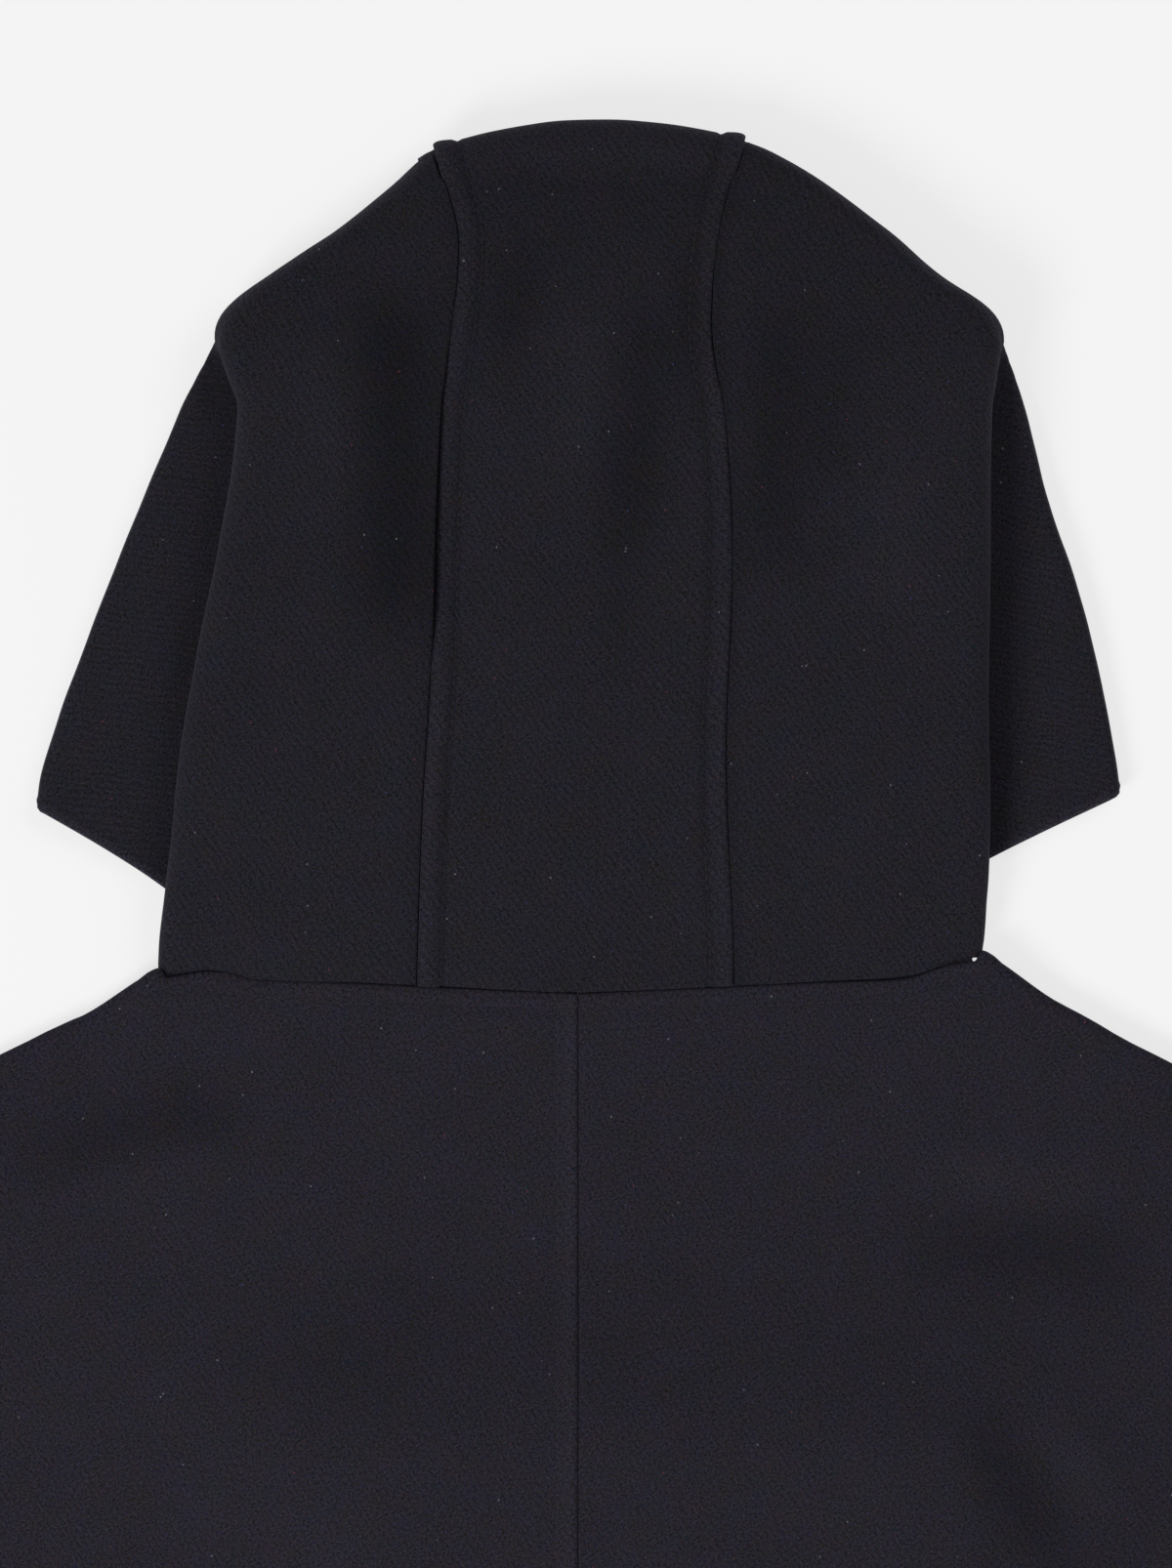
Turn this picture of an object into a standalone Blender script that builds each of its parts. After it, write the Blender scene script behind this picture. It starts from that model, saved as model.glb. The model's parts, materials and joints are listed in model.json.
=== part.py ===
"""A hooded duffle coat of heavy wool cloth, laid flat on its front.

The back lies upwards and the hood above it, opening down. +X is the wearer's right
side, +Y runs from the hem to the hood, and +Z is up from the surface it lies on.
Lengths are in millimetres up to the last step. Places are measured from the middle
of the back neck: `across` along X and `up` along Y.
"""
import math
from collections import namedtuple

import bmesh
import bpy
from mathutils import Vector

MM = 0.001
COAT = "duffle_coat"

# Cloth and seams
CLOTH = 2.8                 # thickness of the heavy double-faced wool
SEAM_GAP = 0.3              # space between two pieces at a seam
SIDE_GAP = 0.35             # each side's share of the space at a rolled seam
SEAM_LIP = 0.8              # straight last stretch of a rolled edge
NECK_LEAN = 0.5             # further space where the hood leans back from the neck
PLY = CLOTH / 2             # height of the middle of a ply that lies on the floor
BACK_HEIGHT = 8.0           # middle of the back's cloth above the fronts
EDGE_ROLL = (BACK_HEIGHT - PLY) / 2     # radius where front and back meet at a side

# Body
BACK_LENGTH = 880.0
HEM_HALF = 322.0
HEM_CURVE = 8.0             # how far the hem's ends lie above its middle
UNDERARM_BODY = (272.5, -306.0)
UNDERARM_SLEEVE = (278.0, -300.0)
SHOULDER_TIP = (245.0, -44.0)
ARMHOLE_BULGE = 31.0
FRONT_NECK_DROP = 68.0
FRONT_OVERLAP = 45.0        # how far each front passes the middle
OVERLAP_STEP = 27.0         # width in which the inner front climbs over the outer one
OVERLAP_RISE = 3.15

# The fronts ride up over the toggles they are fastened with
TOGGLE_RISE = 16.0
RISE_MIDDLE = 30.0
RISE_FLAT_HALF = 92.0
RISE_FADE = 100.0
RISE_TOP = -88.0
RISE_TOP_FADE = 84.0
RISE_BOTTOM = -520.0
RISE_BOTTOM_FADE = 150.0

# Sleeves
SLEEVE_ANGLE = math.radians(42.0)       # between the sleeve and the coat's length
SLEEVE_LENGTH = 590.0
SLEEVE_HEAD_BULGE = 32.0
SLEEVE_HEAD_REACH = 205.0
CUFF_WIDTH = 145.0
SLEEVE_GAP = 0.4

# Hood
CENTRE_FOREHEAD = 100.0     # where the folded-under crown ends
LEFT_FACE_TIP, RIGHT_FACE_TIP = 68.5, 74.0
WING_RISE = 70.0            # length in which the wing rises to its full height
WING_FOLD = 2.8             # radius of the outer fold of the wing
CROWN_PLAIN = 215.0         # above this the side's double fold opens into one fold
CROWN_FOLD_START = 250.0
UNDER_SEAM = 42.0           # half width of the centre panel at the forehead
CHIN_WIDTH = 20.0

# Closures
TOGGLE_UPS = (-212.0, -345.0, -478.0)
TOGGLE_ACROSS = 28.0
TOGGLE_LENGTH = 46.0
TOGGLE_RADIUS = 5.0
TOGGLE_TAPER = 0.42         # share of the radius lost at the ends
CORD_RADIUS = 1.3
LOOP_HALF = 7.5             # half the width of the loop round the toggle
LOOP_LEAD = 12.0            # length in which the loop comes down from its patch
CORD_SPREAD = 2.2           # from the middle of the toggle to each of its cords
PATCH_THICKNESS = 1.6
PATCH_OUTER = (-45.0, -5.0)
PATCH_INNER = (72.0, 112.0)
PATCH_HALF = 17.0

WOOL = ("wool", (0.016, 0.015, 0.022), 0.95)
LEATHER = ("leather", (0.022, 0.014, 0.011), 0.55)
WOOD = ("wood", (0.075, 0.042, 0.022), 0.35)
CORD = ("cord", (0.02, 0.018, 0.02), 0.8)

HoodRow = namedtuple("HoodRow", "up seam fold wing height roll tuck")
LEFT_HOOD = [
    HoodRow(5, 59, 153.5, 197, 8.0, 3.3, 4.0),
    HoodRow(18, 58.5, 152.5, 197, 12.5, 4.4, 5.0),
    HoodRow(31, 58, 151.0, 197, 17.0, 5.5, 6.2),
    HoodRow(76, 56, 145.5, 197, 23.5, 6.6, 11.0),
    HoodRow(104, 54, 142.0, 189, 25.4, 7.0, 14.0),
    HoodRow(151, 52, 132.5, 171.5, 26.5, 7.3, 14.5),
    HoodRow(200, 51, 123.5, 151.0, 27.0, 7.4, 12.0),
    HoodRow(236, 47.0, 124.0, 137.3, 26.0, 7.2, 9.0),
    HoodRow(250, 45, 128.5, 128.5, 25.0, 7.0, 7.5),
    HoodRow(262, 43.5, 113.6, 113.6, 24.5, 7.0, 7.5),
    HoodRow(280, 43.5, 87.0, 87.0, 23.5, 7.0, 7.5),
    HoodRow(297, 48.0, 66.5, 66.5, 22.0, 7.0, 7.5),
]
RIGHT_HOOD = [
    HoodRow(14, 57, 147.5, 198, 8.0, 3.3, 4.0),
    HoodRow(28, 56.5, 148.0, 198, 12.5, 4.4, 5.0),
    HoodRow(43, 55.5, 149.0, 198, 17.0, 5.5, 6.2),
    HoodRow(76, 54, 149.5, 198, 23.0, 6.6, 11.0),
    HoodRow(104, 54, 148.8, 193.8, 25.4, 7.0, 14.0),
    HoodRow(151, 56, 149.0, 182.0, 26.5, 7.3, 14.5),
    HoodRow(200, 55.5, 149.5, 166.0, 27.0, 7.4, 12.0),
    HoodRow(236, 49.5, 151.0, 160.0, 26.0, 7.2, 9.0),
    HoodRow(250, 49, 150.5, 150.5, 25.0, 7.0, 7.5),
    HoodRow(262, 49.5, 133.2, 133.2, 24.5, 7.0, 7.5),
    HoodRow(280, 51.5, 112.8, 112.8, 23.5, 7.0, 7.5),
    HoodRow(297, 55.5, 90.0, 90.0, 22.0, 7.0, 7.5),
]
# Rows of the seams between the hood's centre and sides, above the neck
SEAM_UPS = (17, 31, 45, 60, 80, 105, 135, 172, 215, 228, 239, 250, 264, 280, 297)
EMERGE_ROW = 3              # the row where the wing comes out from under the top layer
PLAIN_ROW = 9               # the last row with the double fold

EdgePoint = namedtuple("EdgePoint", "across up")
LEFT_NECK = [EdgePoint(0, 1), EdgePoint(45, 3), EdgePoint(85, 5), EdgePoint(122, 6),
             EdgePoint(153.5, 5)]
RIGHT_NECK = [EdgePoint(0, 1), EdgePoint(45, 3), EdgePoint(85, 5), EdgePoint(122, 6.5),
              EdgePoint(147.5, 13.5)]
# The front neckline, a share of the way from its lowest point up to the shoulder
FrontNeck = namedtuple("FrontNeck", "across share")
FRONT_NECK = [FrontNeck(-45, 0.0), FrontNeck(48, 0.02), FrontNeck(75, 0.12),
              FrontNeck(122, 0.52), FrontNeck(150, 1.0)]
LEFT_SHOULDER = [EdgePoint(152.5, 3.0), EdgePoint(170, 0.2), EdgePoint(191, -11.3),
                 EdgePoint(243, -45)]
RIGHT_SHOULDER = [EdgePoint(147.5, 12.0), EdgePoint(175, -0.6), EdgePoint(198, -15.8),
                  EdgePoint(243, -45)]
LEFT_CROWN = EdgePoint(52.5, 310)
RIGHT_CROWN = EdgePoint(61.0, 313)
CROWN_ARCH = 8.5            # how far the crown rises between its seams
CROWN_DEPTH = 11.0          # reach of the crown's fold
CROWN_SEAM_SPREAD = 3.0     # how far the seam stands out at the tip of the crown's fold
CROWN_LEAN = 0.9            # further space where the sides lean back from the crown

Trough = namedtuple("Trough", "across0 up0 across1 up1 width depth")
TROUGHS = [
    Trough(-70, 262, -64, 140, 16, 3.5),
    Trough(-15, 284, -29, 222, 13, 2.5),
    Trough(24, 272, 24, 150, 13, 2.5),
    Trough(88, 263, 78, 150, 18, 1.8),
]

# Counts of steps along each stretch
FRONT_COLUMNS = (-45.0, 0.0, 48.0, 75.0, 122.0)
BACK_COLUMNS = (SEAM_GAP / 2, 45.0, 85.0, 122.0)
SKIRT_STEPS, ARMHOLE_STEPS, SHOULDER_STEPS = 6, 6, 3
HALF_ROLL = 0.5             # roll of the edge where it meets a sleeve
TOP_STEPS, ROLL_STEPS, TUCK_STEPS, TURN_STEPS = 6, 5, 2, 3
WING_STEPS, WING_FOLD_STEPS, UNDER_STEPS = 3, 4, 5
SLIVER_COLUMNS = (136.0, 122.0, 98.0, 75.0, 62.0)
CENTRE_STEPS = 8
CROWN_STEPS = 6
CENTRE_UNDER_STEPS = 4
ROLL_END = TOP_STEPS + ROLL_STEPS
WING_START = ROLL_END + TUCK_STEPS + TURN_STEPS
WING_END = WING_START + WING_STEPS
UNDER_START = WING_END + WING_FOLD_STEPS
LAST = UNDER_START + UNDER_STEPS


def smooth(x):
    """0 up to 1, with a level start and end."""
    x = min(max(x, 0.0), 1.0)
    return x * x * (3 - 2 * x)


def lerp(a, b, t):
    return a + (b - a) * t


def read(table, column, at):
    """The value of a table's column at a place, on a smooth curve through its rows."""
    keys = [row[0] for row in table]
    values = [getattr(row, column) for row in table]
    if (keys[0] - at) * (keys[-1] - at) >= 0:
        return values[0] if abs(keys[0] - at) < abs(keys[-1] - at) else values[-1]
    i = next(n for n in range(len(keys) - 1) if (keys[n] - at) * (keys[n + 1] - at) <= 0)
    slopes = []
    for n in (i, i + 1):
        before, after = max(n - 1, 0), min(n + 1, len(keys) - 1)
        slopes.append((values[after] - values[before]) / (keys[after] - keys[before]))
    width = keys[i + 1] - keys[i]
    t = (at - keys[i]) / width
    straight = lerp(values[i], values[i + 1], t)
    bend = t * (1 - t) * ((1 - t) * (slopes[0] * width - values[i + 1] + values[i])
                          - t * (slopes[1] * width - values[i + 1] + values[i]))
    return straight + bend


def along(table, column, at):
    """The value of a table's column at a place, on straight lines between its rows."""
    for low, high in zip(table, table[1:]):
        if at <= high[0]:
            break
    return lerp(getattr(low, column), getattr(high, column), (at - low[0]) / (high[0] - low[0]))


def arc(across, height, radius, steps, turn):
    """Points of a half circle from (across, height) down; turn 1 bulges outwards."""
    points = []
    for n in range(1, steps + 1):
        angle = math.pi * n / steps
        points.append((across + turn * radius * math.sin(angle),
                       height - radius * (1 - math.cos(angle))))
    return points


def trough_drop(across, up):
    """How far the soft troughs pull the hood's top layer down."""
    drop = 0.0
    for t in TROUGHS:
        run = (t.across1 - t.across0, t.up1 - t.up0)
        length = math.hypot(*run)
        along = ((across - t.across0) * run[0] + (up - t.up0) * run[1]) / length
        aside = ((across - t.across0) * run[1] - (up - t.up0) * run[0]) / length
        ends = smooth(along / 40) * smooth((length - along) / 40)
        drop += t.depth * ends * math.exp(-(aside / t.width) ** 2)
    return drop


def material(spec):
    name, colour, roughness = spec
    made = bpy.data.materials.get(name) or bpy.data.materials.new(name)
    made.use_nodes = True
    shader = made.node_tree.nodes["Principled BSDF"]
    shader.inputs["Base Color"].default_value = (*colour, 1.0)
    shader.inputs["Roughness"].default_value = roughness
    shader.inputs["Metallic"].default_value = 0.0
    return made


def place(obj, spec):
    """Give an object its material and put it in the coat's collection."""
    obj.data.materials.append(material(spec))
    for holder in list(obj.users_collection):
        holder.objects.unlink(obj)
    bpy.data.collections[COAT].objects.link(obj)
    return obj


def cloth(name, *sheets, thickness=CLOTH, ring=False, spec=WOOL):
    """A cloth piece: a surface through rows of points, given its thickness.

    Each sheet is a list of rows. Sheets are joined where they have the same points.
    """
    mesh = bmesh.new()
    made = {}

    def vertex(point):
        if point not in made:
            made[point] = mesh.verts.new([c * MM for c in point])
        return made[point]

    for rows in sheets:
        for low, high in zip(rows, rows[1:]):
            for n in range(len(low) if ring else min(len(low), len(high)) - 1):
                m = (n + 1) % len(low)
                mesh.faces.new([vertex(p) for p in (low[n], low[m], high[m], high[n])])
    obj = solid_object(name, mesh)
    wall = obj.modifiers.new("Cloth", "SOLIDIFY")
    wall.thickness = thickness * MM
    wall.offset = 0.0
    wall.use_even_offset = True
    return place(obj, spec)


def solid_object(name, mesh):
    """An object from a bmesh, with its faces facing out and shaded smooth."""
    bmesh.ops.recalc_face_normals(mesh, faces=mesh.faces)
    data = bpy.data.meshes.new(name)
    mesh.to_mesh(data)
    mesh.free()
    data.shade_smooth()
    obj = bpy.data.objects.new(name, data)
    bpy.context.scene.collection.objects.link(obj)
    return obj


# ---------------------------------------------------------------- body

def rise(across, up):
    """Lift of the body over the toggles."""
    sideways = 1 - smooth((abs(across - RISE_MIDDLE) - RISE_FLAT_HALF) / RISE_FADE)
    top = smooth((RISE_TOP - up) / RISE_TOP_FADE)
    bottom = 1 - smooth((RISE_BOTTOM - up) / RISE_BOTTOM_FADE)
    return TOGGLE_RISE * sideways * top * bottom


def front_height(side, across):
    """Middle of a front's cloth where there are no toggles; the right front is inside."""
    if side < 0:
        return PLY
    return PLY + OVERLAP_RISE * (1 - smooth((across - FRONT_OVERLAP - 3) / OVERLAP_STEP))


def armhole(t):
    """The armhole seam from the shoulder tip, t = 0, to the underarm, t = 1."""
    across = lerp(SHOULDER_TIP[0], UNDERARM_SLEEVE[0], t) - ARMHOLE_BULGE * 4 * t * (1 - t)
    return across, lerp(SHOULDER_TIP[1], UNDERARM_SLEEVE[1], t)


def shoulder_neck(side):
    return LEFT_NECK if side < 0 else RIGHT_NECK


def body_ends(side):
    """Rows of the body from the hem up: (edge point, outward way, roll, neck share)."""
    ends = []
    for n in range(SKIRT_STEPS + 1):
        t = n / SKIRT_STEPS
        edge = (lerp(HEM_HALF, UNDERARM_BODY[0], t), lerp(HEM_CURVE - BACK_LENGTH, UNDERARM_BODY[1], t))
        ends.append((edge, (1.0, 0.0), HALF_ROLL if t == 1 else 1.0, 0.0))
    for n in range(1, ARMHOLE_STEPS):
        across, up = armhole(1 - n / ARMHOLE_STEPS)
        ends.append(((across - SLEEVE_GAP, up), (1.0, 0.0), 0.0, 0.0))
    shoulder = LEFT_SHOULDER if side < 0 else RIGHT_SHOULDER
    run = (shoulder[-1].across - shoulder[0].across, shoulder[-1].up - shoulder[0].up)
    length = math.hypot(*run)
    outward = (-run[1] / length, run[0] / length)
    for n in range(SHOULDER_STEPS):
        across = lerp(shoulder[-1].across, shoulder[0].across, n / (SHOULDER_STEPS - 1))
        edge = (across, read(shoulder, "up", across))
        ends.append((edge, outward, 1.0 if n else HALF_ROLL, (n + 1) / SHOULDER_STEPS))
    return ends


def neckline(side, front, across, corner):
    """Height of the neck edge of a body piece, which ends at its corner."""
    if front:
        share = along(FRONT_NECK, "share", across * FRONT_NECK[-1].across / corner[0])
        return lerp(-FRONT_NECK_DROP, corner[1], share)
    neck = shoulder_neck(side)
    miss = corner[1] - along(neck, "up", corner[0]) + SEAM_GAP / 2
    return along(neck, "up", across) - SEAM_GAP / 2 + miss * smooth(across / corner[0] * 5 - 4)


def rolled_edge(roll):
    """Steps out and down from the flat of a body piece to its side seam or armhole."""
    radius = EDGE_ROLL - SEAM_LIP
    steps = [(SEAM_LIP + radius * math.sin(math.radians(a)),
              radius * (1 - math.cos(math.radians(a))) * roll) for a in (30, 60, 90)]
    steps[-1] = (EDGE_ROLL - 0.02, steps[-1][1])
    return steps + [(EDGE_ROLL + 0.3 * (1 - roll), (EDGE_ROLL - SIDE_GAP) * roll)]


def body_panel(side, front):
    """One half of the back, or one front, from its middle edge to its rolled side."""
    ends = body_ends(side)
    columns = FRONT_COLUMNS if front else BACK_COLUMNS

    def flat_end(edge, outward):
        return edge[0] - EDGE_ROLL * outward[0], edge[1] - EDGE_ROLL * outward[1]

    corner = flat_end(*ends[-1][:2])
    top = neckline(side, front, 0.0, corner)
    below = ends[-1 - SHOULDER_STEPS][0][1]
    rows = []
    for index, (edge, outward, roll, share) in enumerate(ends):
        flat = flat_end(edge, outward)
        middle = lerp(below, top, share) if share else edge[1]
        if index == 0:
            middle = -BACK_LENGTH
        row = []
        for across in list(columns) + [lerp(columns[-1], flat[0], n / 3) for n in (1, 2, 3)]:
            t = max(across, 0.0) / flat[0]
            at_corner = across if across <= 0 else across * corner[0] / flat[0]
            straight = lerp(top, corner[1], max(at_corner, 0.0) / corner[0])
            up = lerp(middle, flat[1], t)
            up += (neckline(side, front, at_corner, corner) - straight) * share
            height = front_height(side, across) if front else BACK_HEIGHT
            row.append((side * across, up, height + rise(side * across, up)))
        for out, drop in rolled_edge(roll):
            height = PLY + drop if front else BACK_HEIGHT - drop
            row.append((side * (flat[0] + out * outward[0]), flat[1] + out * outward[1], height))
        rows.append(row)
    name = ("front_" if front else "back_") + ("left" if side < 0 else "right")
    return cloth(name, rows)


# ---------------------------------------------------------------- sleeves

def sleeve(side):
    """A sleeve: rings from the armhole seam to the cuff, flattened, open at both ends."""
    along = (math.sin(SLEEVE_ANGLE), -math.cos(SLEEVE_ANGLE))
    aside = (math.cos(SLEEVE_ANGLE), math.sin(SLEEVE_ANGLE))

    def split(across, up):
        return across * along[0] + up * along[1], across * aside[0] + up * aside[1]

    head, outer_start = split(*SHOULDER_TIP)
    under, inner_start = split(*UNDERARM_SLEEVE)
    outer = outer_start + SLEEVE_HEAD_BULGE
    full = under + 25
    flat_steps = ARMHOLE_STEPS

    def outer_edge(at):
        t = min(max((at - head) / SLEEVE_HEAD_REACH, 0), 1)
        return outer_start + SLEEVE_HEAD_BULGE * (1 - (1 - t) ** 2)

    def width_at(at):
        return lerp(outer - inner_start, CUFF_WIDTH, (at - under) / (head + SLEEVE_LENGTH - under))

    stations = [(0, t / 4) for t in range(4)]
    stations += [(full + (head + SLEEVE_LENGTH - full) * t / 4, 1) for t in range(5)]
    rings = []
    for station, blend in stations:
        at = station if blend == 1 else full
        spots = []
        for n in range(flat_steps + 1):
            t = n / flat_steps
            low = outer_edge(at) - EDGE_ROLL - t * (width_at(at) - 2 * EDGE_ROLL)
            end = (at, low)
            if blend < 1:
                inset = EDGE_ROLL / (SHOULDER_TIP[1] - UNDERARM_SLEEVE[1])
                start = split(*armhole(min(max(t, inset), 1 - inset)))
                start = (start[0] + SLEEVE_GAP, start[1])
                bulge = (outer_edge(lerp(start[0], at, blend))
                         - lerp(outer_start, outer_edge(at), blend)) * (1 - t) ** 2
                end = (lerp(start[0], at, blend), lerp(start[1], low, blend) + bulge)
            spots.append(end)

        def point(spot, out, height):
            a, w = spot[0], spot[1] + out
            return (side * (a * along[0] + w * aside[0]), a * along[1] + w * aside[1], height)

        ring = [point(spot, 0, BACK_HEIGHT) for spot in spots]
        for n in (1, 2, 3, 4, 5):
            angle = math.pi * n / 6
            ring.append(point(spots[-1], -EDGE_ROLL * math.sin(angle),
                              BACK_HEIGHT - EDGE_ROLL * (1 - math.cos(angle))))
        ring += [point(spot, 0, PLY) for spot in reversed(spots)]
        for n in (1, 2, 3, 4, 5):
            angle = math.pi * n / 6
            ring.append(point(spots[0], EDGE_ROLL * math.sin(angle),
                              PLY + EDGE_ROLL * (1 - math.cos(angle))))
        rings.append(ring)
    return cloth("sleeve_left" if side < 0 else "sleeve_right", rings, ring=True)


# ---------------------------------------------------------------- hood

def hood_table(side):
    return LEFT_HOOD if side < 0 else RIGHT_HOOD


def crown_point(side):
    return LEFT_CROWN if side < 0 else RIGHT_CROWN


def under_seam(side, up):
    """Half width of the centre panel where it lies folded under."""
    crown = crown_point(side)
    start, end = CENTRE_FOREHEAD, crown.up - CROWN_DEPTH
    return lerp(UNDER_SEAM, crown.across - CROWN_SEAM_SPREAD, (up - start) / (end - start))


def section(side, up):
    """One cut across a hood side at a height: points (across, height), seam to seam."""
    table = hood_table(side)
    seam, fold, wing, height, roll, tuck = (
        read(table, c, up) for c in ("seam", "fold", "wing", "height", "roll", "tuck"))
    seam += SEAM_GAP / 2
    under = under_seam(side, up) + SEAM_GAP / 2
    wing_top = PLY + 2 * WING_FOLD
    wing_height = lerp(PLY * 2, wing_top, smooth((up - table[2].up) / WING_RISE))
    tuck_height = height - 2 * roll
    turn = (tuck_height - wing_height) / 2
    double = [(lerp(seam, fold - roll, n / TOP_STEPS), height) for n in range(TOP_STEPS + 1)]
    double += arc(fold - roll, height, roll, ROLL_STEPS, 1)
    root = fold - max(tuck, roll + 0.5)
    double += [(lerp(fold - roll, root, n / TUCK_STEPS), tuck_height)
               for n in range(1, TUCK_STEPS + 1)]
    double += arc(root, tuck_height, turn, TURN_STEPS, -1)
    out = wing - WING_FOLD
    double += [(lerp(root, out, n / WING_STEPS), lerp(wing_height, wing_top, n / WING_STEPS))
               for n in range(1, WING_STEPS + 1)]
    double += arc(out, wing_top, WING_FOLD, WING_FOLD_STEPS, 1)
    double += [(lerp(out, under, n / UNDER_STEPS), PLY) for n in range(1, UNDER_STEPS + 1)]

    radius = (height - PLY) / 2
    reach = wing - radius
    single = [(lerp(seam, reach, n / TOP_STEPS), height) for n in range(TOP_STEPS + 1)]
    single += arc(reach, height, radius, UNDER_START - TOP_STEPS, 1)
    single += [(lerp(reach, under, n / UNDER_STEPS), PLY) for n in range(1, UNDER_STEPS + 1)]
    opened = smooth((up - CROWN_PLAIN) / (CROWN_FOLD_START - CROWN_PLAIN))
    return [(lerp(d[0], s[0], opened), lerp(d[1], s[1], opened)) for d, s in zip(double, single)]


def low_edge(side, column, emerge):
    """Where a column past the roll begins, along the face opening."""
    tip = LEFT_FACE_TIP if side < 0 else RIGHT_FACE_TIP
    if column <= WING_START:
        return emerge + min(column - ROLL_END, TUCK_STEPS) * 1.5
    if column <= WING_END:
        return lerp(emerge + 3, tip - 2, (column - WING_START) / WING_STEPS)
    if column <= UNDER_START:
        return lerp(tip - 2, tip + 2, (column - WING_END) / WING_FOLD_STEPS)
    return lerp(tip + 2, CENTRE_FOREHEAD, (column - UNDER_START) / UNDER_STEPS)


def seam_start(side):
    """Where the seam between centre and side leaves the neck."""
    return along(shoulder_neck(side), "up", hood_table(side)[0].seam) + SEAM_GAP / 2 + NECK_LEAN


def hood_side(side):
    """A hood side: over the top, rolled under, out as the wing, and back underneath."""
    table = hood_table(side)
    fold_start, emerge = table[0].up, table[2].up
    seam_ups = (seam_start(side), *SEAM_UPS)

    def point(column, up):
        across, height = section(side, up)[column]
        drop = trough_drop(side * across, up) if column < TOP_STEPS else 0
        return (side * across, up, height - drop)

    def neck_point(column, share, at_seam, at_fold):
        """A point of the seam to the back neck."""
        neck = shoulder_neck(side)
        across = section(side, at_seam)[column][0]
        miss = at_fold - along(neck, "up", table[0].fold)
        up = along(neck, "up", across) + lerp(SEAM_GAP / 2 + NECK_LEAN, miss, share)
        return (side * across, up, table[0].height)

    def row(index):
        """Points from the centre seam to the end of the roll."""
        at_seam = seam_ups[index]
        if index <= EMERGE_ROW:
            at_fold = lerp(fold_start + SEAM_GAP / 2 + NECK_LEAN, emerge, index / EMERGE_ROW)
        else:
            part = (at_seam - seam_ups[EMERGE_ROW]) / (CROWN_PLAIN - seam_ups[EMERGE_ROW])
            at_fold = max(lerp(emerge, CROWN_PLAIN, part), at_seam * (index > PLAIN_ROW))
        points = []
        for column in range(ROLL_END + 1):
            share = smooth(column / TOP_STEPS)
            if index == 0 and column < TOP_STEPS:
                points.append(neck_point(column, share, at_seam, at_fold))
            else:
                points.append(point(column, lerp(at_seam, at_fold, share)))
        return points

    lower = []
    for index in range(EMERGE_ROW + 1):
        start = row(index)
        lower.append(start + sliver(side, start[-1], index / EMERGE_ROW))
    upper = []
    for index in range(EMERGE_ROW, PLAIN_ROW + 1):
        start = row(index)
        t = (start[-1][1] - emerge) / (CROWN_PLAIN - emerge)
        upper.append(start + [point(c, lerp(low_edge(side, c, emerge), CROWN_PLAIN, t))
                              for c in range(ROLL_END + 1, LAST + 1)])
    for up in SEAM_UPS[PLAIN_ROW:]:
        upper.append([point(c, up) for c in range(LAST + 1)])
    upper.append([crown_seam(side, column / LAST, SEAM_GAP / 2, CROWN_LEAN)
                  for column in range(LAST + 1)])
    return cloth("hood_side_left" if side < 0 else "hood_side_right", lower, upper)


def crown_seam(side, t, away, lean=0.0):
    """The seam round the crown's fold, from the top, t = 0, to underneath, t = 1."""
    crown = crown_point(side)
    high = hood_table(side)[-1].height
    angle = math.pi * t
    across = crown.across - CROWN_SEAM_SPREAD * (1 - math.sin(angle)) + away
    across += lean * math.sin(angle)
    return (side * across, crown.up - CROWN_DEPTH * (1 - math.sin(angle)),
            lerp(high, PLY, (1 - math.cos(angle)) / 2))


def sliver(side, start, t):
    """The side's last stretch from its rolled edge to the chin, under the neck."""
    corner = abs(start[0])
    points = []
    for n, neck_across in enumerate(SLIVER_COLUMNS, start=1):
        g = n / len(SLIVER_COLUMNS)
        across = neck_across * corner / FRONT_NECK[-1].across + 6 * t * g
        share = along(FRONT_NECK, "share", neck_across)
        neck_up = lerp(-FRONT_NECK_DROP, start[1], share) + SEAM_GAP
        face_up = lerp(start[1], -FRONT_NECK_DROP + CHIN_WIDTH, g)
        height = lerp(start[2], front_height(side, across), smooth(g * 2))
        points.append((side * across, lerp(neck_up, face_up, t), height))
    return points


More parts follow.
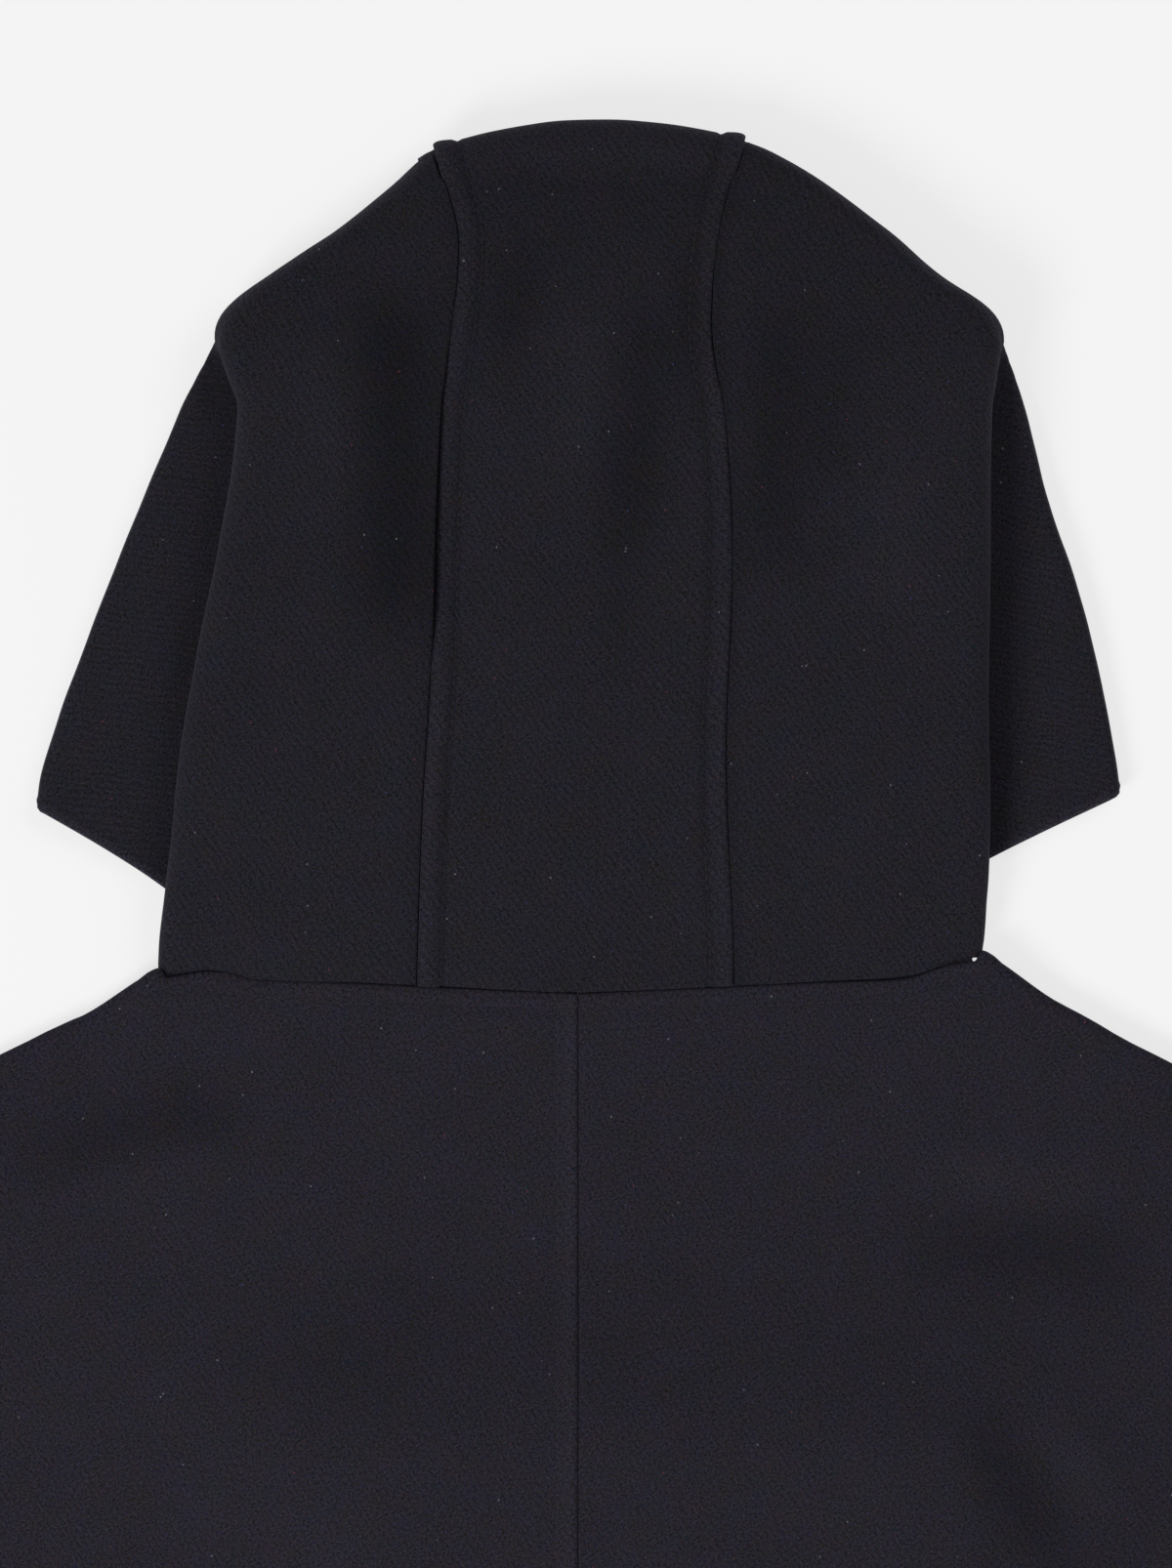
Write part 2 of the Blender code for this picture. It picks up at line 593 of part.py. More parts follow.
def hood_centre():
    """The centre panel: from the back neck over the crown and back underneath."""
    columns = [n / CENTRE_STEPS for n in range(CENTRE_STEPS + 1)]
    rows = []

    def across_panel(left, right, arch):
        """A row between two seam points (across, up, height), bowed up the panel by arch."""
        row = []
        for s in columns:
            bow = arch * 4 * s * (1 - s)
            across, up = lerp(left[0], right[0], s), lerp(left[1], right[1], s) + bow
            height = lerp(left[2], right[2], s)
            row.append((across, up, height - trough_drop(across, up) * (s not in (0, 1))))
        return row

    def seam_point(side, up):
        table = hood_table(side)
        return (side * (read(table, "seam", up) - SEAM_GAP / 2), up, read(table, "height", up))

    ends = [seam_point(side, seam_start(side)) for side in (-1, 1)]
    start = across_panel(*ends, 0.0)
    rows.append([(p[0], along(shoulder_neck(p[0]), "up", abs(p[0])) + SEAM_GAP / 2 + NECK_LEAN,
                  p[2]) for p in start])
    for up in SEAM_UPS:
        ends = [seam_point(side, up) for side in (-1, 1)]
        rows.append(across_panel(*ends, CROWN_ARCH * smooth((up - 200) / 97)))
    for n in range(CROWN_STEPS + 1):
        ends = [crown_seam(side, n / CROWN_STEPS, -SEAM_GAP / 2) for side in (-1, 1)]
        rows.append(across_panel(*ends, CROWN_ARCH))
    for n in range(1, CENTRE_UNDER_STEPS + 1):
        t = n / CENTRE_UNDER_STEPS
        ends = []
        for side in (-1, 1):
            up = lerp(crown_point(side).up - CROWN_DEPTH, CENTRE_FOREHEAD, t)
            ends.append((side * (under_seam(side, up) - SEAM_GAP / 2), up, PLY))
        rows.append([(p[0], p[1], PLY) for p in across_panel(*ends, CROWN_ARCH * (1 - t))])
    return cloth("hood_centre", rows)


# ---------------------------------------------------------------- closures

def patch(name, reach, side, up):
    """A leather patch on a front, made from the front's own points moved down."""
    drop = PLY + SEAM_GAP + PATCH_THICKNESS / 2
    rows = []
    for n in range(5):
        across = lerp(*reach, n / 4)
        row = []
        for m in range(5):
            at = up + lerp(-PATCH_HALF, PATCH_HALF, m / 4)
            height = front_height(side, side * across) + rise(across, at) - drop
            row.append((across, at, height))
        rows.append(row)
    return cloth(name, rows, thickness=PATCH_THICKNESS, spec=LEATHER)


def cord(name, route):
    """A round cord along a route of points."""
    data = bpy.data.curves.new(name, "CURVE")
    data.dimensions = "3D"
    data.bevel_depth = CORD_RADIUS * MM
    data.bevel_resolution = 2
    data.use_fill_caps = True
    spline = data.splines.new("POLY")
    spline.points.add(len(route) - 1)
    for spot, point in zip(spline.points, route):
        spot.co = (*[c * MM for c in point], 1.0)
    obj = bpy.data.objects.new(name, data)
    bpy.context.scene.collection.objects.link(obj)
    return place(obj, CORD)


def toggle(name, up):
    """A tapered toggle, turned about its long axis, which lies across the coat."""
    steps, sides = 8, 12
    rings = []
    for n in range(steps + 1):
        t = 2 * n / steps - 1
        rings.append((TOGGLE_ACROSS + t * TOGGLE_LENGTH / 2,
                      TOGGLE_RADIUS * (1 - TOGGLE_TAPER * t * t)))
    mesh = bmesh.new()
    loops = []
    for across, radius in rings:
        loops.append([mesh.verts.new((across * MM, (up + radius * math.cos(a)) * MM,
                                      (TOGGLE_RADIUS + radius * math.sin(a)) * MM))
                      for a in (2 * math.pi * k / sides for k in range(sides))])
    for low, high in zip(loops, loops[1:]):
        for k in range(sides):
            mesh.faces.new((low[k], low[(k + 1) % sides], high[(k + 1) % sides], high[k]))
    mesh.faces.new(loops[0])
    mesh.faces.new(loops[-1])
    return place(solid_object(name, mesh), WOOD)


def closure(number, up):
    """One fastened toggle: patch and loop on the outer front, patch and cord on the inner."""
    patch(f"patch_left_{number}", PATCH_OUTER, -1, up)
    patch(f"patch_right_{number}", PATCH_INNER, 1, up)
    toggle(f"toggle_{number}", up)
    under_cloth = TOGGLE_RISE - SEAM_GAP - CORD_RADIUS - 0.1
    apex = under_cloth - 2 * CORD_RADIUS - SEAM_GAP
    half_way = lerp(under_cloth, apex, 0.4)
    start, end = PATCH_OUTER[1] + 0.5, TOGGLE_ACROSS + 2
    low, high = up - LOOP_HALF, up + LOOP_HALF
    route = [(start, low, under_cloth), (start + LOOP_LEAD, low, half_way), (end, low, apex)]
    for n in range(1, 8):
        angle = math.pi * n / 8
        route.append((end + LOOP_HALF * math.sin(angle), up - LOOP_HALF * math.cos(angle), apex))
    route += [(end, high, apex), (start + LOOP_LEAD, high, half_way), (start, high, under_cloth)]
    cord(f"loop_{number}", route)
    for name, at in (("a", up - CORD_SPREAD), ("b", up + CORD_SPREAD)):
        cord(f"cord_{number}_{name}", [
            (PATCH_INNER[0] - 0.5, at, under_cloth - 0.4),
            (TOGGLE_ACROSS + 18, at, under_cloth),
            (TOGGLE_ACROSS + 3, at, under_cloth),
            (TOGGLE_ACROSS + 0.9, at, under_cloth - 0.9),
            (TOGGLE_ACROSS, at, under_cloth - 3.0),
            (TOGGLE_ACROSS, at, 2 * TOGGLE_RADIUS + SEAM_GAP),
        ])


def centre_on_floor():
    """Move the whole coat so that its box stands centred on the origin."""
    bpy.context.view_layer.update()
    graph = bpy.context.evaluated_depsgraph_get()
    corners = []
    for obj in bpy.data.collections[COAT].objects:
        shown = obj.evaluated_get(graph)
        mesh = shown.to_mesh()
        corners += [shown.matrix_world @ v.co for v in mesh.vertices]
        shown.to_mesh_clear()
    low, high = (Vector([pick(c[k] for c in corners) for k in range(3)]) for pick in (min, max))
    shift = Vector(((low.x + high.x) / 2, (low.y + high.y) / 2, low.z))
    for obj in bpy.data.collections[COAT].objects:
        obj.location -= shift


def main():
    for obj in list(bpy.data.objects):
        bpy.data.objects.remove(obj, do_unlink=True)
    bpy.context.scene.collection.children.link(bpy.data.collections.new(COAT))
    for side in (-1, 1):
        body_panel(side, front=False)
        body_panel(side, front=True)
        sleeve(side)
        hood_side(side)
    hood_centre()
    for number, up in enumerate(TOGGLE_UPS, start=1):
        closure(number, up)
    centre_on_floor()


main()
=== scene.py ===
"""The looks of a navy duffle coat of heavy wool twill, laid flat with its back up.

Lengths are in millimetres, measured from the middle of the back neck (across, up, height),
until a mesh is made. The frame puts that point at ORIGIN.
"""
import json
import math
from collections import namedtuple

import bmesh
import bpy
import numpy as np
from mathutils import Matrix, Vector, noise
from mathutils.kdtree import KDTree

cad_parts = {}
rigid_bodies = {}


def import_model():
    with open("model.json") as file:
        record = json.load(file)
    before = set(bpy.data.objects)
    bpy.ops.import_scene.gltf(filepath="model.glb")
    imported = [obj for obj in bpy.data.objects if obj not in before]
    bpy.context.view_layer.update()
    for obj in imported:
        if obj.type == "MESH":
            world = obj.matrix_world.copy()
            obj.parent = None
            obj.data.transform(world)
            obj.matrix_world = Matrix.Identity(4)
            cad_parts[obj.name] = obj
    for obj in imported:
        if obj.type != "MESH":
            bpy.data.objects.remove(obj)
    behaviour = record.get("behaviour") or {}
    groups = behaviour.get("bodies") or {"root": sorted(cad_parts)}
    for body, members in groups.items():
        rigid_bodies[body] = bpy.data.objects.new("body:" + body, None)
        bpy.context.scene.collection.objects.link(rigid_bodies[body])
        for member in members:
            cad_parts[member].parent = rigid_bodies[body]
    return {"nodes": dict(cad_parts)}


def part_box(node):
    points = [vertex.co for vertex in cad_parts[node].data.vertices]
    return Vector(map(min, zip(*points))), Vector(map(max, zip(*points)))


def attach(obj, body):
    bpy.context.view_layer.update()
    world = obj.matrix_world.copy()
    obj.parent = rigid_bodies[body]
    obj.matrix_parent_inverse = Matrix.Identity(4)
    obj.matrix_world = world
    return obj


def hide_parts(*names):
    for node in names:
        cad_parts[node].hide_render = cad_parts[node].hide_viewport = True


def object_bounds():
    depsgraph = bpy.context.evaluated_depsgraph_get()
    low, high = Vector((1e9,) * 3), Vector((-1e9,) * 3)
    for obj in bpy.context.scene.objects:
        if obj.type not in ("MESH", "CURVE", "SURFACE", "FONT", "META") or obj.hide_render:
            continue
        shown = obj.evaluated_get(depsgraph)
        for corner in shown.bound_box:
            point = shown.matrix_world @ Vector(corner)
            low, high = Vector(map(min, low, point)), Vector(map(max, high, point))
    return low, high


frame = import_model()
cad_box = [list(map(float, c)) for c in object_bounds()]

MM = 0.001
CLOTH = 2.8
WALL = 2.6                  # thickness shown
FLOOR_GAP = 0.03
NECK_LAP_FADE = 34.0        # length in which the neck's corners rise over the hood
NECK_LAP_RISE = 2.3
NECK_LAP_START, NECK_LAP_WIDTH = 116, 24
LEFT_NECK_LAP, RIGHT_NECK_LAP = 6.5, 4.0
EDGE_ROUND = 0.95           # how far in the rounding of a cut edge reaches
SEAM_CLOSE, NECK_CLOSE, CROWN_CLOSE = 0.15, 0.5, 0.4    # how far edges move to close a seam
HOOD_STITCH, BACK_STITCH = 8.2, 7.2                     # stitch lines, from their seams
HOOD_TWILL, BODY_TWILL = 54, 57                         # slope of the ribs, in degrees
LEFT_WING_TWILL, RIGHT_WING_TWILL = 48, 40              # further turn of the wings' ribs
CROWN_BUMP, CROWN_BUMP_REACH = 1.1, 6.5
CREASE_FADE = 40.0
FAR = 99.0                  # stands for a distance that plays no part
SEAM_GAP = 0.3
NECK_LEAN = 0.5
PLY = CLOTH / 2
BACK_HEIGHT = 8.0
EDGE_ROLL = (BACK_HEIGHT - PLY) / 2
SIDE_GAP = 0.35
SEAM_LIP = 0.8

BACK_LENGTH = 880.0
HEM_HALF = 322.0
HEM_CURVE = 8.0
UNDERARM_BODY = (272.5, -306.0)
UNDERARM_SLEEVE = (278.0, -300.0)
SHOULDER_TIP = (245.0, -44.0)
ARMHOLE_BULGE = 31.0
FRONT_NECK_DROP = 68.0
FRONT_OVERLAP = 45.0
OVERLAP_STEP = 27.0
OVERLAP_RISE = 3.15

TOGGLE_RISE = 16.0
RISE_MIDDLE = 30.0
RISE_FLAT_HALF = 92.0
RISE_FADE = 100.0
RISE_TOP = -88.0
RISE_TOP_FADE = 84.0
RISE_BOTTOM = -520.0
RISE_BOTTOM_FADE = 150.0

SLEEVE_ANGLE = math.radians(42.0)
SLEEVE_LENGTH = 590.0
SLEEVE_HEAD_BULGE = 32.0
SLEEVE_HEAD_REACH = 205.0
CUFF_WIDTH = 145.0
SLEEVE_GAP = 0.4

CENTRE_FOREHEAD = 100.0
LEFT_FACE_TIP, RIGHT_FACE_TIP = 68.5, 74.0
WING_RISE = 70.0
WING_FOLD = 2.8
CROWN_PLAIN = 215.0
CROWN_FOLD_START = 250.0
UNDER_SEAM = 42.0
CHIN_WIDTH = 20.0

HoodRow = namedtuple("HoodRow", "up seam fold wing height roll tuck")
LEFT_HOOD = [
    HoodRow(5, 59, 153.5, 197, 8.0, 3.3, 4.0),
    HoodRow(18, 58.5, 152.5, 197, 12.5, 4.4, 5.0),
    HoodRow(31, 58, 151.0, 197, 17.0, 5.5, 6.2),
    HoodRow(76, 56, 145.5, 197, 23.5, 6.6, 11.0),
    HoodRow(104, 54, 142.0, 189, 25.4, 7.0, 14.0),
    HoodRow(151, 52, 132.5, 171.5, 26.5, 7.3, 14.5),
    HoodRow(200, 51, 123.5, 151.0, 27.0, 7.4, 12.0),
    HoodRow(236, 47.0, 124.0, 137.3, 26.0, 7.2, 9.0),
    HoodRow(250, 45, 128.5, 128.5, 25.0, 7.0, 7.5),
    HoodRow(262, 43.5, 113.6, 113.6, 24.5, 7.0, 7.5),
    HoodRow(280, 43.5, 87.0, 87.0, 23.5, 7.0, 7.5),
    HoodRow(297, 48.0, 66.5, 66.5, 22.0, 7.0, 7.5),
]
RIGHT_HOOD = [
    HoodRow(14, 57, 147.5, 198, 8.0, 3.3, 4.0),
    HoodRow(28, 56.5, 148.0, 198, 12.5, 4.4, 5.0),
    HoodRow(43, 55.5, 149.0, 198, 17.0, 5.5, 6.2),
    HoodRow(76, 54, 149.5, 198, 23.0, 6.6, 11.0),
    HoodRow(104, 54, 148.8, 193.8, 25.4, 7.0, 14.0),
    HoodRow(151, 56, 149.0, 182.0, 26.5, 7.3, 14.5),
    HoodRow(200, 55.5, 149.5, 166.0, 27.0, 7.4, 12.0),
    HoodRow(236, 49.5, 151.0, 160.0, 26.0, 7.2, 9.0),
    HoodRow(250, 49, 150.5, 150.5, 25.0, 7.0, 7.5),
    HoodRow(262, 49.5, 133.2, 133.2, 24.5, 7.0, 7.5),
    HoodRow(280, 51.5, 112.8, 112.8, 23.5, 7.0, 7.5),
    HoodRow(297, 55.5, 90.0, 90.0, 22.0, 7.0, 7.5),
]
SEAM_UPS = (17, 31, 45, 60, 80, 105, 135, 172, 215, 228, 239, 250, 264, 280, 297)
EMERGE_ROW = 3
PLAIN_ROW = 9

EdgePoint = namedtuple("EdgePoint", "across up")
LEFT_NECK = [EdgePoint(0, 1), EdgePoint(45, 3), EdgePoint(85, 5), EdgePoint(122, 6),
             EdgePoint(153.5, 5)]
RIGHT_NECK = [EdgePoint(0, 1), EdgePoint(45, 3), EdgePoint(85, 5), EdgePoint(122, 6.5),
              EdgePoint(147.5, 13.5)]
FrontNeck = namedtuple("FrontNeck", "across share")
FRONT_NECK = [FrontNeck(-45, 0.0), FrontNeck(48, 0.02), FrontNeck(75, 0.12),
              FrontNeck(122, 0.52), FrontNeck(150, 1.0)]
LEFT_SHOULDER = [EdgePoint(152.5, 3.0), EdgePoint(170, 0.2), EdgePoint(191, -11.3),
                 EdgePoint(243, -45)]
RIGHT_SHOULDER = [EdgePoint(147.5, 12.0), EdgePoint(175, -0.6), EdgePoint(198, -15.8),
                  EdgePoint(243, -45)]
LEFT_CROWN = EdgePoint(52.5, 310)
RIGHT_CROWN = EdgePoint(61.0, 313)
CROWN_ARCH = 8.5
CROWN_DEPTH = 11.0
CROWN_SEAM_SPREAD = 3.0
CROWN_LEAN = 0.9

Crease = namedtuple("Crease", "across0 up0 across1 up1 width depth")
HOOD_TROUGHS = [
    Crease(-70, 270, -66, 112, 17, 4.6),
    Crease(-15, 290, -29, 218, 10, 2.6),
    Crease(27, 276, 24, 150, 10, 2.6),
    Crease(13, 232, 18, 112, 9, 1.6),
    Crease(41, 296, 43, 196, 8, 1.9),
    Crease(72, 268, 70, 138, 13, 3.0),
    Crease(98, 258, 86, 168, 10, 1.6),
    Crease(-98, 246, -84, 168, 14, -1.6),
    Crease(118, 214, 108, 110, 15, -1.2),
    Crease(5, 262, 0, 180, 9, -1.0),
]
# Shallow dents, and ridges where the depth is below zero
BODY_CREASES = [
    Crease(-222, -60, -104, -36, 15, 1.9),
    Crease(-205, -75, -112, -52, 9, -0.7),
    Crease(106, -86, 226, -96, 15, 1.7),
    Crease(112, -62, 215, -70, 10, -1.0),
    Crease(158, -128, 206, -204, 11, -1.1),
    Crease(-150, -120, -40, -150, 26, 0.9),
    Crease(136, -136, 188, -220, 11, 1.9),
    Crease(-232, -240, -150, -330, 14, 1.2),
    Crease(238, -250, 160, -345, 13, 1.1),
    Crease(-60, -590, -190, -690, 22, 1.6),
    Crease(90, -560, 205, -720, 20, 1.5),
    Crease(-20, -640, 25, -800, 24, 1.4),
    Crease(-250, -480, -215, -640, 16, 1.0),
    Crease(255, -430, 232, -600, 17, 1.1),
]
SLEEVE_CREASES = [
    Crease(262, -110, 330, -190, 13, 1.2),
    Crease(285, -250, 372, -268, 13, 1.4),
    Crease(318, -330, 430, -300, 12, 1.3),
    Crease(365, -375, 452, -352, 13, 1.1),
    Crease(430, -330, 520, -430, 14, 1.0),
    Crease(470, -470, 560, -440, 12, 0.9),
]

FRONT_COLUMNS = (-45.0, 0.0, 48.0, 75.0, 122.0)
BACK_COLUMNS = (SEAM_GAP / 2, 45.0, 85.0, 122.0)
SKIRT_STEPS, ARMHOLE_STEPS, SHOULDER_STEPS = 6, 6, 3
HALF_ROLL = 0.5
TOP_STEPS, ROLL_STEPS, TUCK_STEPS, TURN_STEPS = 6, 5, 2, 3
WING_STEPS, WING_FOLD_STEPS, UNDER_STEPS = 3, 4, 5
SLIVER_COLUMNS = (136.0, 122.0, 98.0, 75.0, 62.0)
CENTRE_STEPS = 8
CROWN_STEPS = 6
CENTRE_UNDER_STEPS = 4
ROLL_END = TOP_STEPS + ROLL_STEPS
WING_START = ROLL_END + TUCK_STEPS + TURN_STEPS
WING_END = WING_START + WING_STEPS
UNDER_START = WING_END + WING_FOLD_STEPS
LAST = UNDER_START + UNDER_STEPS

# Where the middle of the back neck is in the frame, from the hem's and the cloth's own places
low_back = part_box("back_left")[0]
ORIGIN = Vector(((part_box("back_left")[1][0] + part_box("back_right")[0][0]) / 2,
                 low_back[1] + BACK_LENGTH * MM,
                 cad_box[0][2]))


# ---------------------------------------------------------------- the coat's form

def smooth(x):
    x = min(max(x, 0.0), 1.0)
    return x * x * (3 - 2 * x)


def ease(x):
    """smooth() for arrays."""
    x = np.clip(x, 0, 1)
    return x * x * (3 - 2 * x)


def lerp(a, b, t):
    return a + (b - a) * t


def read(table, column, at):
    """The value of a table's column at a place, on a smooth curve through its rows."""
    keys = [row[0] for row in table]
    values = [getattr(row, column) for row in table]
    if (keys[0] - at) * (keys[-1] - at) >= 0:
        return values[0] if abs(keys[0] - at) < abs(keys[-1] - at) else values[-1]
    i = next(n for n in range(len(keys) - 1) if (keys[n] - at) * (keys[n + 1] - at) <= 0)
    slopes = []
    for n in (i, i + 1):
        before, after = max(n - 1, 0), min(n + 1, len(keys) - 1)
        slopes.append((values[after] - values[before]) / (keys[after] - keys[before]))
    width = keys[i + 1] - keys[i]
    t = (at - keys[i]) / width
    straight = lerp(values[i], values[i + 1], t)
    bend = t * (1 - t) * ((1 - t) * (slopes[0] * width - values[i + 1] + values[i])
                          - t * (slopes[1] * width - values[i + 1] + values[i]))
    return straight + bend


def along(table, column, at):
    for low, high in zip(table, table[1:]):
        if at <= high[0]:
            break
    return lerp(getattr(low, column), getattr(high, column), (at - low[0]) / (high[0] - low[0]))


def arc(across, height, radius, steps, turn):
    """Points of a half circle from (across, height) down; turn 1 bulges outwards."""
    angles = [math.pi * n / steps for n in range(1, steps + 1)]
    return [(across + turn * radius * math.sin(a), height - radius * (1 - math.cos(a)))
            for a in angles]


def crease_depth(creases, across, up):
    """Depth of all the soft creases at places given as arrays."""
    total = np.zeros_like(across)
    for c in creases:
        run = (c.across1 - c.across0, c.up1 - c.up0)
        length = math.hypot(*run)
        ahead = ((across - c.across0) * run[0] + (up - c.up0) * run[1]) / length
        aside = ((across - c.across0) * run[1] - (up - c.up0) * run[0]) / length
        fade = min(CREASE_FADE, length / 2.2)
        ends = ease(ahead / fade) * ease((length - ahead) / fade)
        total += c.depth * ends * np.exp(-(aside / c.width) ** 2)
    return total


def rise(across, up):
    """Lift of the body over the toggles."""
    sideways = 1 - smooth((abs(across - RISE_MIDDLE) - RISE_FLAT_HALF) / RISE_FADE)
    top = smooth((RISE_TOP - up) / RISE_TOP_FADE)
    bottom = 1 - smooth((RISE_BOTTOM - up) / RISE_BOTTOM_FADE)
    return TOGGLE_RISE * sideways * top * bottom


def front_height(side, across):
    if side < 0:
        return PLY
    return PLY + OVERLAP_RISE * (1 - smooth((across - FRONT_OVERLAP - 3) / OVERLAP_STEP))


def armhole(t):
    across = lerp(SHOULDER_TIP[0], UNDERARM_SLEEVE[0], t) - ARMHOLE_BULGE * 4 * t * (1 - t)
    return across, lerp(SHOULDER_TIP[1], UNDERARM_SLEEVE[1], t)


def shoulder_neck(side):
    return LEFT_NECK if side < 0 else RIGHT_NECK


def body_ends(side):
    """Rows of the body from the hem up: (edge point, outward way, roll, neck share)."""
    ends = []
    for n in range(SKIRT_STEPS + 1):
        t = n / SKIRT_STEPS
        edge = (lerp(HEM_HALF, UNDERARM_BODY[0], t),
                lerp(HEM_CURVE - BACK_LENGTH, UNDERARM_BODY[1], t))
        ends.append((edge, (1.0, 0.0), HALF_ROLL if t == 1 else 1.0, 0.0))
    for n in range(1, ARMHOLE_STEPS):
        across, up = armhole(1 - n / ARMHOLE_STEPS)
        ends.append(((across - SLEEVE_GAP, up), (1.0, 0.0), 0.0, 0.0))
    shoulder = LEFT_SHOULDER if side < 0 else RIGHT_SHOULDER
    run = (shoulder[-1].across - shoulder[0].across, shoulder[-1].up - shoulder[0].up)
    length = math.hypot(*run)
    outward = (-run[1] / length, run[0] / length)
    for n in range(SHOULDER_STEPS):
        across = lerp(shoulder[-1].across, shoulder[0].across, n / (SHOULDER_STEPS - 1))
        edge = (across, read(shoulder, "up", across))
        ends.append((edge, outward, 1.0 if n else HALF_ROLL, (n + 1) / SHOULDER_STEPS))
    return ends


def neckline(side, front, across, corner):
    if front:
        share = along(FRONT_NECK, "share", across * FRONT_NECK[-1].across / corner[0])
        return lerp(-FRONT_NECK_DROP, corner[1], share)
    neck = shoulder_neck(side)
    miss = corner[1] - along(neck, "up", corner[0]) + SEAM_GAP / 2
    return along(neck, "up", across) - SEAM_GAP / 2 + miss * smooth(across / corner[0] * 5 - 4)


def rolled_edge(roll):
    radius = EDGE_ROLL - SEAM_LIP
    steps = [(SEAM_LIP + radius * math.sin(math.radians(a)),
              radius * (1 - math.cos(math.radians(a))) * roll) for a in (30, 60, 90)]
    steps[-1] = (EDGE_ROLL - 0.02, steps[-1][1])
    return steps + [(EDGE_ROLL + 0.3 * (1 - roll), (EDGE_ROLL - SIDE_GAP) * roll)]


def body_rows(side, front):
    """Rows of one half of the back, or one front, from its middle edge to its side."""
    ends = body_ends(side)
    columns = FRONT_COLUMNS if front else BACK_COLUMNS

    def flat_end(edge, outward):
        return edge[0] - EDGE_ROLL * outward[0], edge[1] - EDGE_ROLL * outward[1]

    corner = flat_end(*ends[-1][:2])
    top = neckline(side, front, 0.0, corner)
    below = ends[-1 - SHOULDER_STEPS][0][1]
    rows = []
    for index, (edge, outward, roll, share) in enumerate(ends):
        flat = flat_end(edge, outward)
        middle = lerp(below, top, share) if share else edge[1]
        if index == 0:
            middle = -BACK_LENGTH
        row = []
        for across in list(columns) + [lerp(columns[-1], flat[0], n / 3) for n in (1, 2, 3)]:
            t = max(across, 0.0) / flat[0]
            at_corner = across if across <= 0 else across * corner[0] / flat[0]
            straight = lerp(top, corner[1], max(at_corner, 0.0) / corner[0])
            up = lerp(middle, flat[1], t)
            up += (neckline(side, front, at_corner, corner) - straight) * share
            height = front_height(side, across) if front else BACK_HEIGHT
            row.append((side * across, up, height))
        for out, drop in rolled_edge(roll):
            height = PLY + drop if front else BACK_HEIGHT - drop
            row.append((side * (flat[0] + out * outward[0]), flat[1] + out * outward[1], height))
        rows.append(row)
    return rows


def sleeve_rings(side):
    """Rings of a sleeve from the armhole seam to the cuff."""
    length_way = (math.sin(SLEEVE_ANGLE), -math.cos(SLEEVE_ANGLE))
    aside = (math.cos(SLEEVE_ANGLE), math.sin(SLEEVE_ANGLE))

    def split(across, up):
        return (across * length_way[0] + up * length_way[1], across * aside[0] + up * aside[1])

    head, outer_start = split(*SHOULDER_TIP)
    under, inner_start = split(*UNDERARM_SLEEVE)
    outer = outer_start + SLEEVE_HEAD_BULGE
    full = under + 25

    def outer_edge(at):
        t = min(max((at - head) / SLEEVE_HEAD_REACH, 0), 1)
        return outer_start + SLEEVE_HEAD_BULGE * (1 - (1 - t) ** 2)

    def width_at(at):
        return lerp(outer - inner_start, CUFF_WIDTH, (at - under) / (head + SLEEVE_LENGTH - under))

    stations = [(0, t / 4) for t in range(4)]
    stations += [(full + (head + SLEEVE_LENGTH - full) * t / 4, 1) for t in range(5)]
    rings = []
    for station, blend in stations:
        at = station if blend == 1 else full
        spots = []
        for n in range(ARMHOLE_STEPS + 1):
            t = n / ARMHOLE_STEPS
            low = outer_edge(at) - EDGE_ROLL - t * (width_at(at) - 2 * EDGE_ROLL)
            end = (at, low)
            if blend < 1:
                inset = EDGE_ROLL / (SHOULDER_TIP[1] - UNDERARM_SLEEVE[1])
                start = split(*armhole(min(max(t, inset), 1 - inset)))
                start = (start[0] + SLEEVE_GAP, start[1])
                bulge = (outer_edge(lerp(start[0], at, blend))
                         - lerp(outer_edge(start[0]), outer_edge(at), blend)) * (1 - t) ** 2
                end = (lerp(start[0], at, blend), lerp(start[1], low, blend) + bulge)
            spots.append(end)

        def point(spot, out, height):
            a, w = spot[0], spot[1] + out
            return (side * (a * length_way[0] + w * aside[0]),
                    a * length_way[1] + w * aside[1], height)

        ring = [point(spot, 0, BACK_HEIGHT) for spot in spots]
        angles = [math.pi * n / 6 for n in (1, 2, 3, 4, 5)]
        ring += [point(spots[-1], -EDGE_ROLL * math.sin(a),
                       BACK_HEIGHT - EDGE_ROLL * (1 - math.cos(a))) for a in angles]
        ring += [point(spot, 0, PLY) for spot in reversed(spots)]
        ring += [point(spots[0], EDGE_ROLL * math.sin(a),
                       PLY + EDGE_ROLL * (1 - math.cos(a))) for a in angles]
        rings.append(ring)
    return rings


def hood_table(side):
    return LEFT_HOOD if side < 0 else RIGHT_HOOD


def crown_point(side):
    return LEFT_CROWN if side < 0 else RIGHT_CROWN


def under_seam(side, up):
    crown = crown_point(side)
    start, end = CENTRE_FOREHEAD, crown.up - CROWN_DEPTH
    return lerp(UNDER_SEAM, crown.across - CROWN_SEAM_SPREAD, (up - start) / (end - start))


